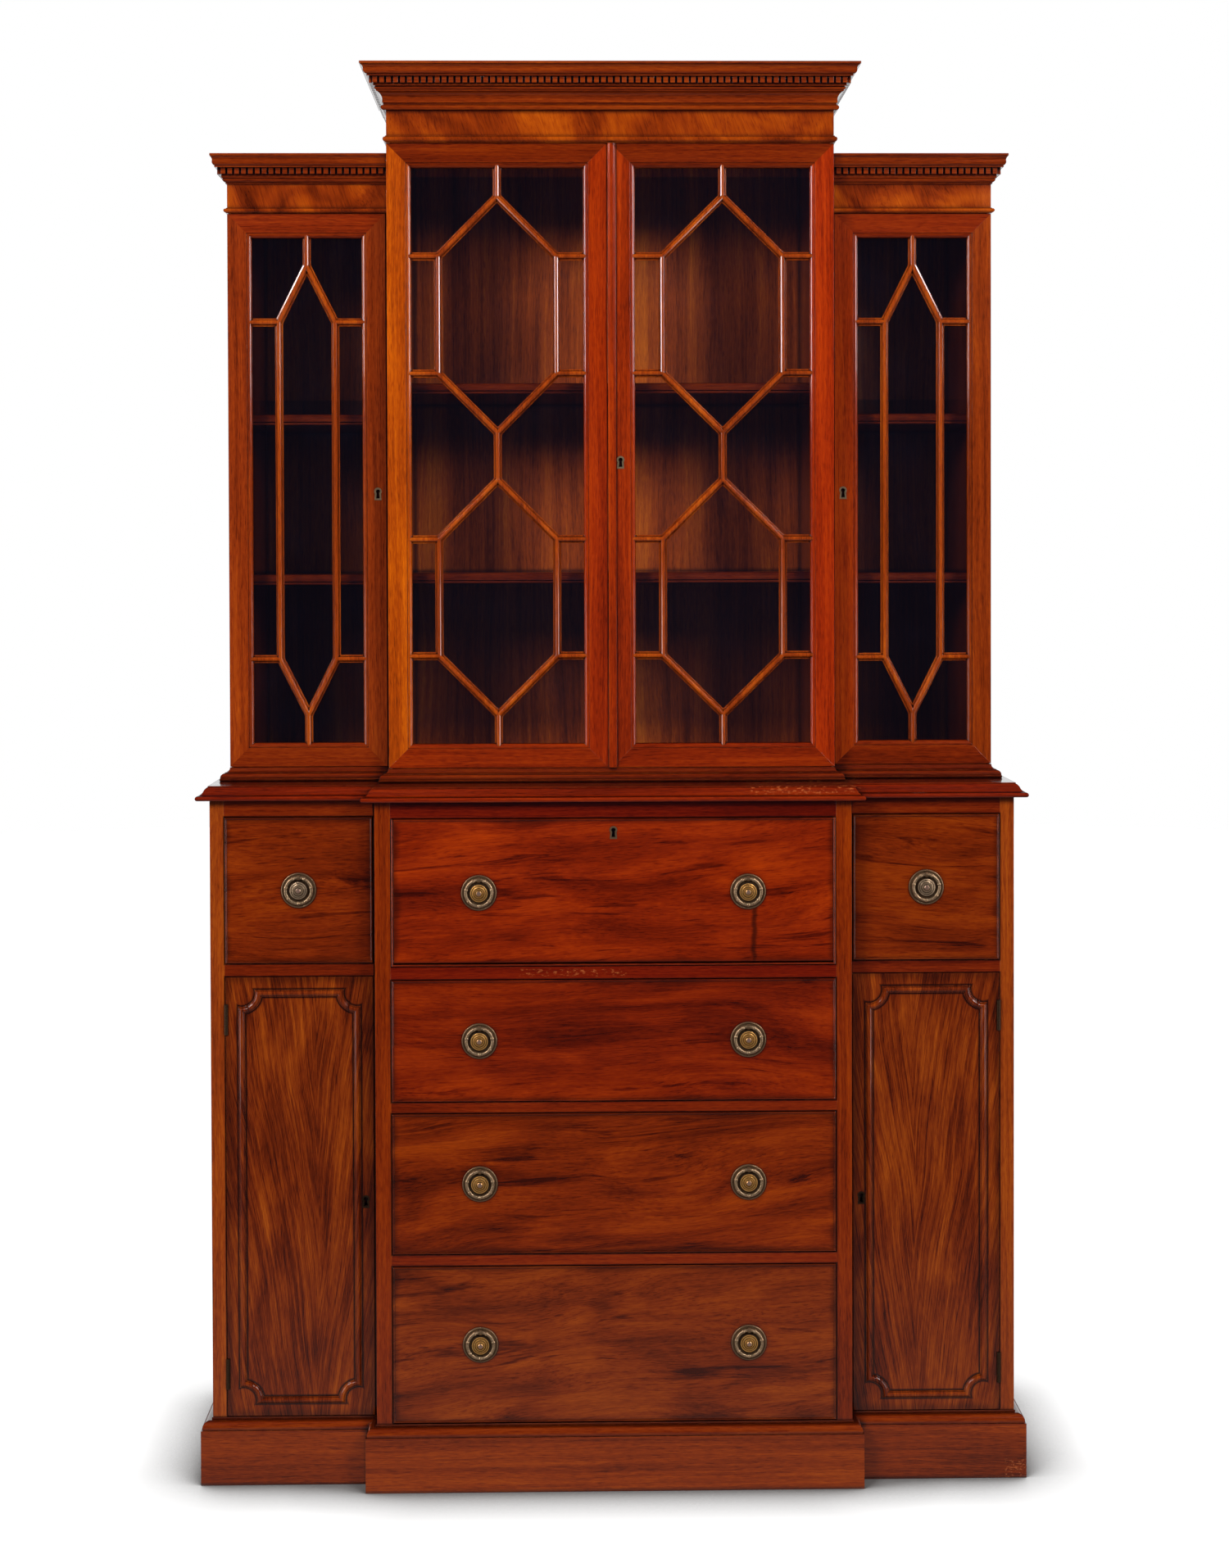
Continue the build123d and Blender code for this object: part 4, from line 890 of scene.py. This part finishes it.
def makeFloor():
    mesh = bpy.data.meshes.new("floor")
    shape = bmesh.new()
    bmesh.ops.create_circle(shape, cap_ends=True, segments=96, radius=studio["floorSize"])
    shape.to_mesh(mesh)
    shape.free()
    floor = bpy.data.objects.new("floor", mesh)
    scene.collection.objects.link(floor)
    material, tree, shader = newMaterial("paleFloor")
    place = put(tree, "TexCoord").outputs["Object"]
    speckles = noise(tree, place, *studio["speckles"])
    tones = [[c * studio["speckleTone"] for c in studio["floorTone"]], studio["floorTone"]]
    colour = ramp(tree, speckles, list(zip(studio["speckleLevels"], tones)))
    tree.links.new(colour, shader.inputs["Base Color"])
    shader.inputs["Roughness"].default_value = studio["floorRoughness"]
    path = put(tree, "LightPath")
    seen = calc(tree, "MAXIMUM", path.outputs["Is Camera Ray"], path.outputs["Is Glossy Ray"])
    seen = calc(tree, "MAXIMUM", seen, path.outputs["Is Transmission Ray"])
    # painted shadow: the floor's glow dims where the object hides the floor
    corner = put(tree, "AmbientOcclusion", {"Distance": studio["shadeReach"]}, samples=8).outputs["AO"]
    hidden = calc(tree, "SUBTRACT", 1.0, corner)
    shade = calc(tree, "MULTIPLY_ADD", hidden, -studio["shadeDepth"], 1.0, clamp=True)
    shade = calc(tree, "MULTIPLY", shade, studio["floorGlow"])
    glow = put(tree, "Emission", {0: (1, 1, 1, 1), 1: calc(tree, "MULTIPLY", seen, shade)})
    both = put(tree, "AddShader", {0: shader.outputs[0], 1: glow.outputs[0]})
    out = next(n for n in tree.nodes if n.type == "OUTPUT_MATERIAL")
    tree.links.new(both.outputs[0], out.inputs[0])
    mesh.materials.append(material)


def makeWorld():
    world = bpy.data.worlds.new("studioWorld")
    scene.world = world
    world.use_nodes = True
    tree = world.node_tree
    tree.nodes.clear()
    path = put(tree, "LightPath")
    seen = calc(tree, "MAXIMUM", path.outputs["Is Camera Ray"], path.outputs["Is Glossy Ray"])
    seen = calc(tree, "MAXIMUM", seen, path.outputs["Is Transmission Ray"])
    strength = step(tree, seen, 0.0, 1.0, studio["surroundLight"], 1.0)
    light = put(tree, "Background", {0: (1, 1, 1, 1), 1: strength})
    out = put(tree, "OutputWorld")
    tree.links.new(light.outputs[0], out.inputs[0])


def makeFarSide():
    # the dark side of the studio, which only the polish and the glass show: it glows faintly as a painted
    # reflection of a dark room, and brighter low down near the object as a painted reflection of the floor
    mesh = bpy.data.meshes.new("farSide")
    shape = bmesh.new()
    bmesh.ops.create_cone(
        shape,
        cap_ends=True,
        segments=48,
        radius1=studio["farRadius"],
        radius2=studio["farRadius"],
        depth=studio["farHeight"] - 2 * studio["farGap"],
        matrix=Matrix.Translation((0, 0, studio["farHeight"] / 2 + studio["farGap"])),
    )
    walls = [f for f in shape.faces if abs(f.normal.z) < 0.5]
    behind = [f for f in walls if f.calc_center_median().y > studio["farOpening"]]
    bmesh.ops.delete(shape, geom=behind, context="FACES")
    shape.to_mesh(mesh)
    shape.free()
    farSide = bpy.data.objects.new("farSide", mesh)
    scene.collection.objects.link(farSide)
    material, tree, shader = newMaterial("darkStudio")
    place = put(tree, "TexCoord").outputs["Object"]
    patches = noise(tree, place, *studio["farPatches"])
    dark = ramp(tree, patches, list(zip(studio["farLevels"], studio["farTones"])))
    x, y, z = put(tree, "SeparateXYZ", {0: place}).outputs
    near = calc(tree, "MULTIPLY", step(tree, y, *studio["nearReach"]), fade(tree, z, *studio["nearHeight"]))
    glow = blendColour(tree, near, dark, (*studio["nearFloor"], 1))
    tree.links.new(glow, shader.inputs["Emission Color"])
    shader.inputs["Emission Strength"].default_value = 1.0
    shader.inputs["Base Color"].default_value = (0.01, 0.01, 0.01, 1)
    shader.inputs["Roughness"].default_value = 1.0
    mesh.materials.append(material)
    farSide.visible_camera = False
    farSide.visible_diffuse = False
    farSide.visible_transmission = False
    farSide.visible_shadow = False
    farSide.visible_volume_scatter = False


# The strips at the sides only make highlights, and the others only light
lampTones = {"strip": (1, 0.94, 0.93), "lamp": (1, 0.98, 0.96)}
lamps = {
    "leftStrip": {"place": (-2.4, -1.2, 2.25), "aim": (0, -0.15, 1.8), "size": (0.5, 0.85), "power": 24},
    "rightStrip": {"place": (2.4, -1.2, 2.25), "aim": (0, -0.15, 1.8), "size": (0.5, 0.85), "power": 23},
    "leftLowStrip": {"place": (-2.4, -1.2, 0.7), "aim": (0, -0.15, 0.7), "size": (0.4, 1.2), "power": 8},
    "rightLowStrip": {"place": (2.4, -1.2, 0.7), "aim": (0, -0.15, 0.7), "size": (0.4, 1.2), "power": 8},
    "leftSparkStrip": {"place": (-2.0, -3.2, 2.9), "aim": (0, -0.1, 1.05), "size": (0.4, 0.4), "power": 16},
    "rightSparkStrip": {"place": (2.0, -3.2, 2.9), "aim": (0, -0.1, 1.05), "size": (0.4, 0.4), "power": 16},
    "topStrip": {"place": (0, -1.9, 3.7), "aim": (0, -0.15, 1.4), "size": (3.4, 0.6), "power": 12},
    "leftLamp": {"place": (-2.1, -3.4, 2.9), "aim": (0, -0.1, 1.05), "size": (1.2, 1.2), "power": 94},
    "rightLamp": {"place": (2.1, -3.4, 2.9), "aim": (0, -0.1, 0.95), "size": (1.2, 1.2), "power": 77},
}


def makeLamps():
    for name, look in lamps.items():
        data = bpy.data.lights.new(name, "AREA")
        data.shape = "RECTANGLE"
        data.size, data.size_y = look["size"]
        data.energy = look["power"]
        data.color = lampTones["strip" if "Strip" in name else "lamp"]
        lamp = bpy.data.objects.new(name, data)
        scene.collection.objects.link(lamp)
        highlight = "Strip" in name and name != "topStrip"
        lamp.visible_diffuse = not highlight
        lamp.visible_glossy = highlight
        place = Vector(look["place"])
        lamp.location = place
        lamp.rotation_euler = (Vector(look["aim"]) - place).to_track_quat("-Z", "Y").to_euler()


makeFloor()
makeWorld()
makeFarSide()
makeLamps()
print("studio lit")
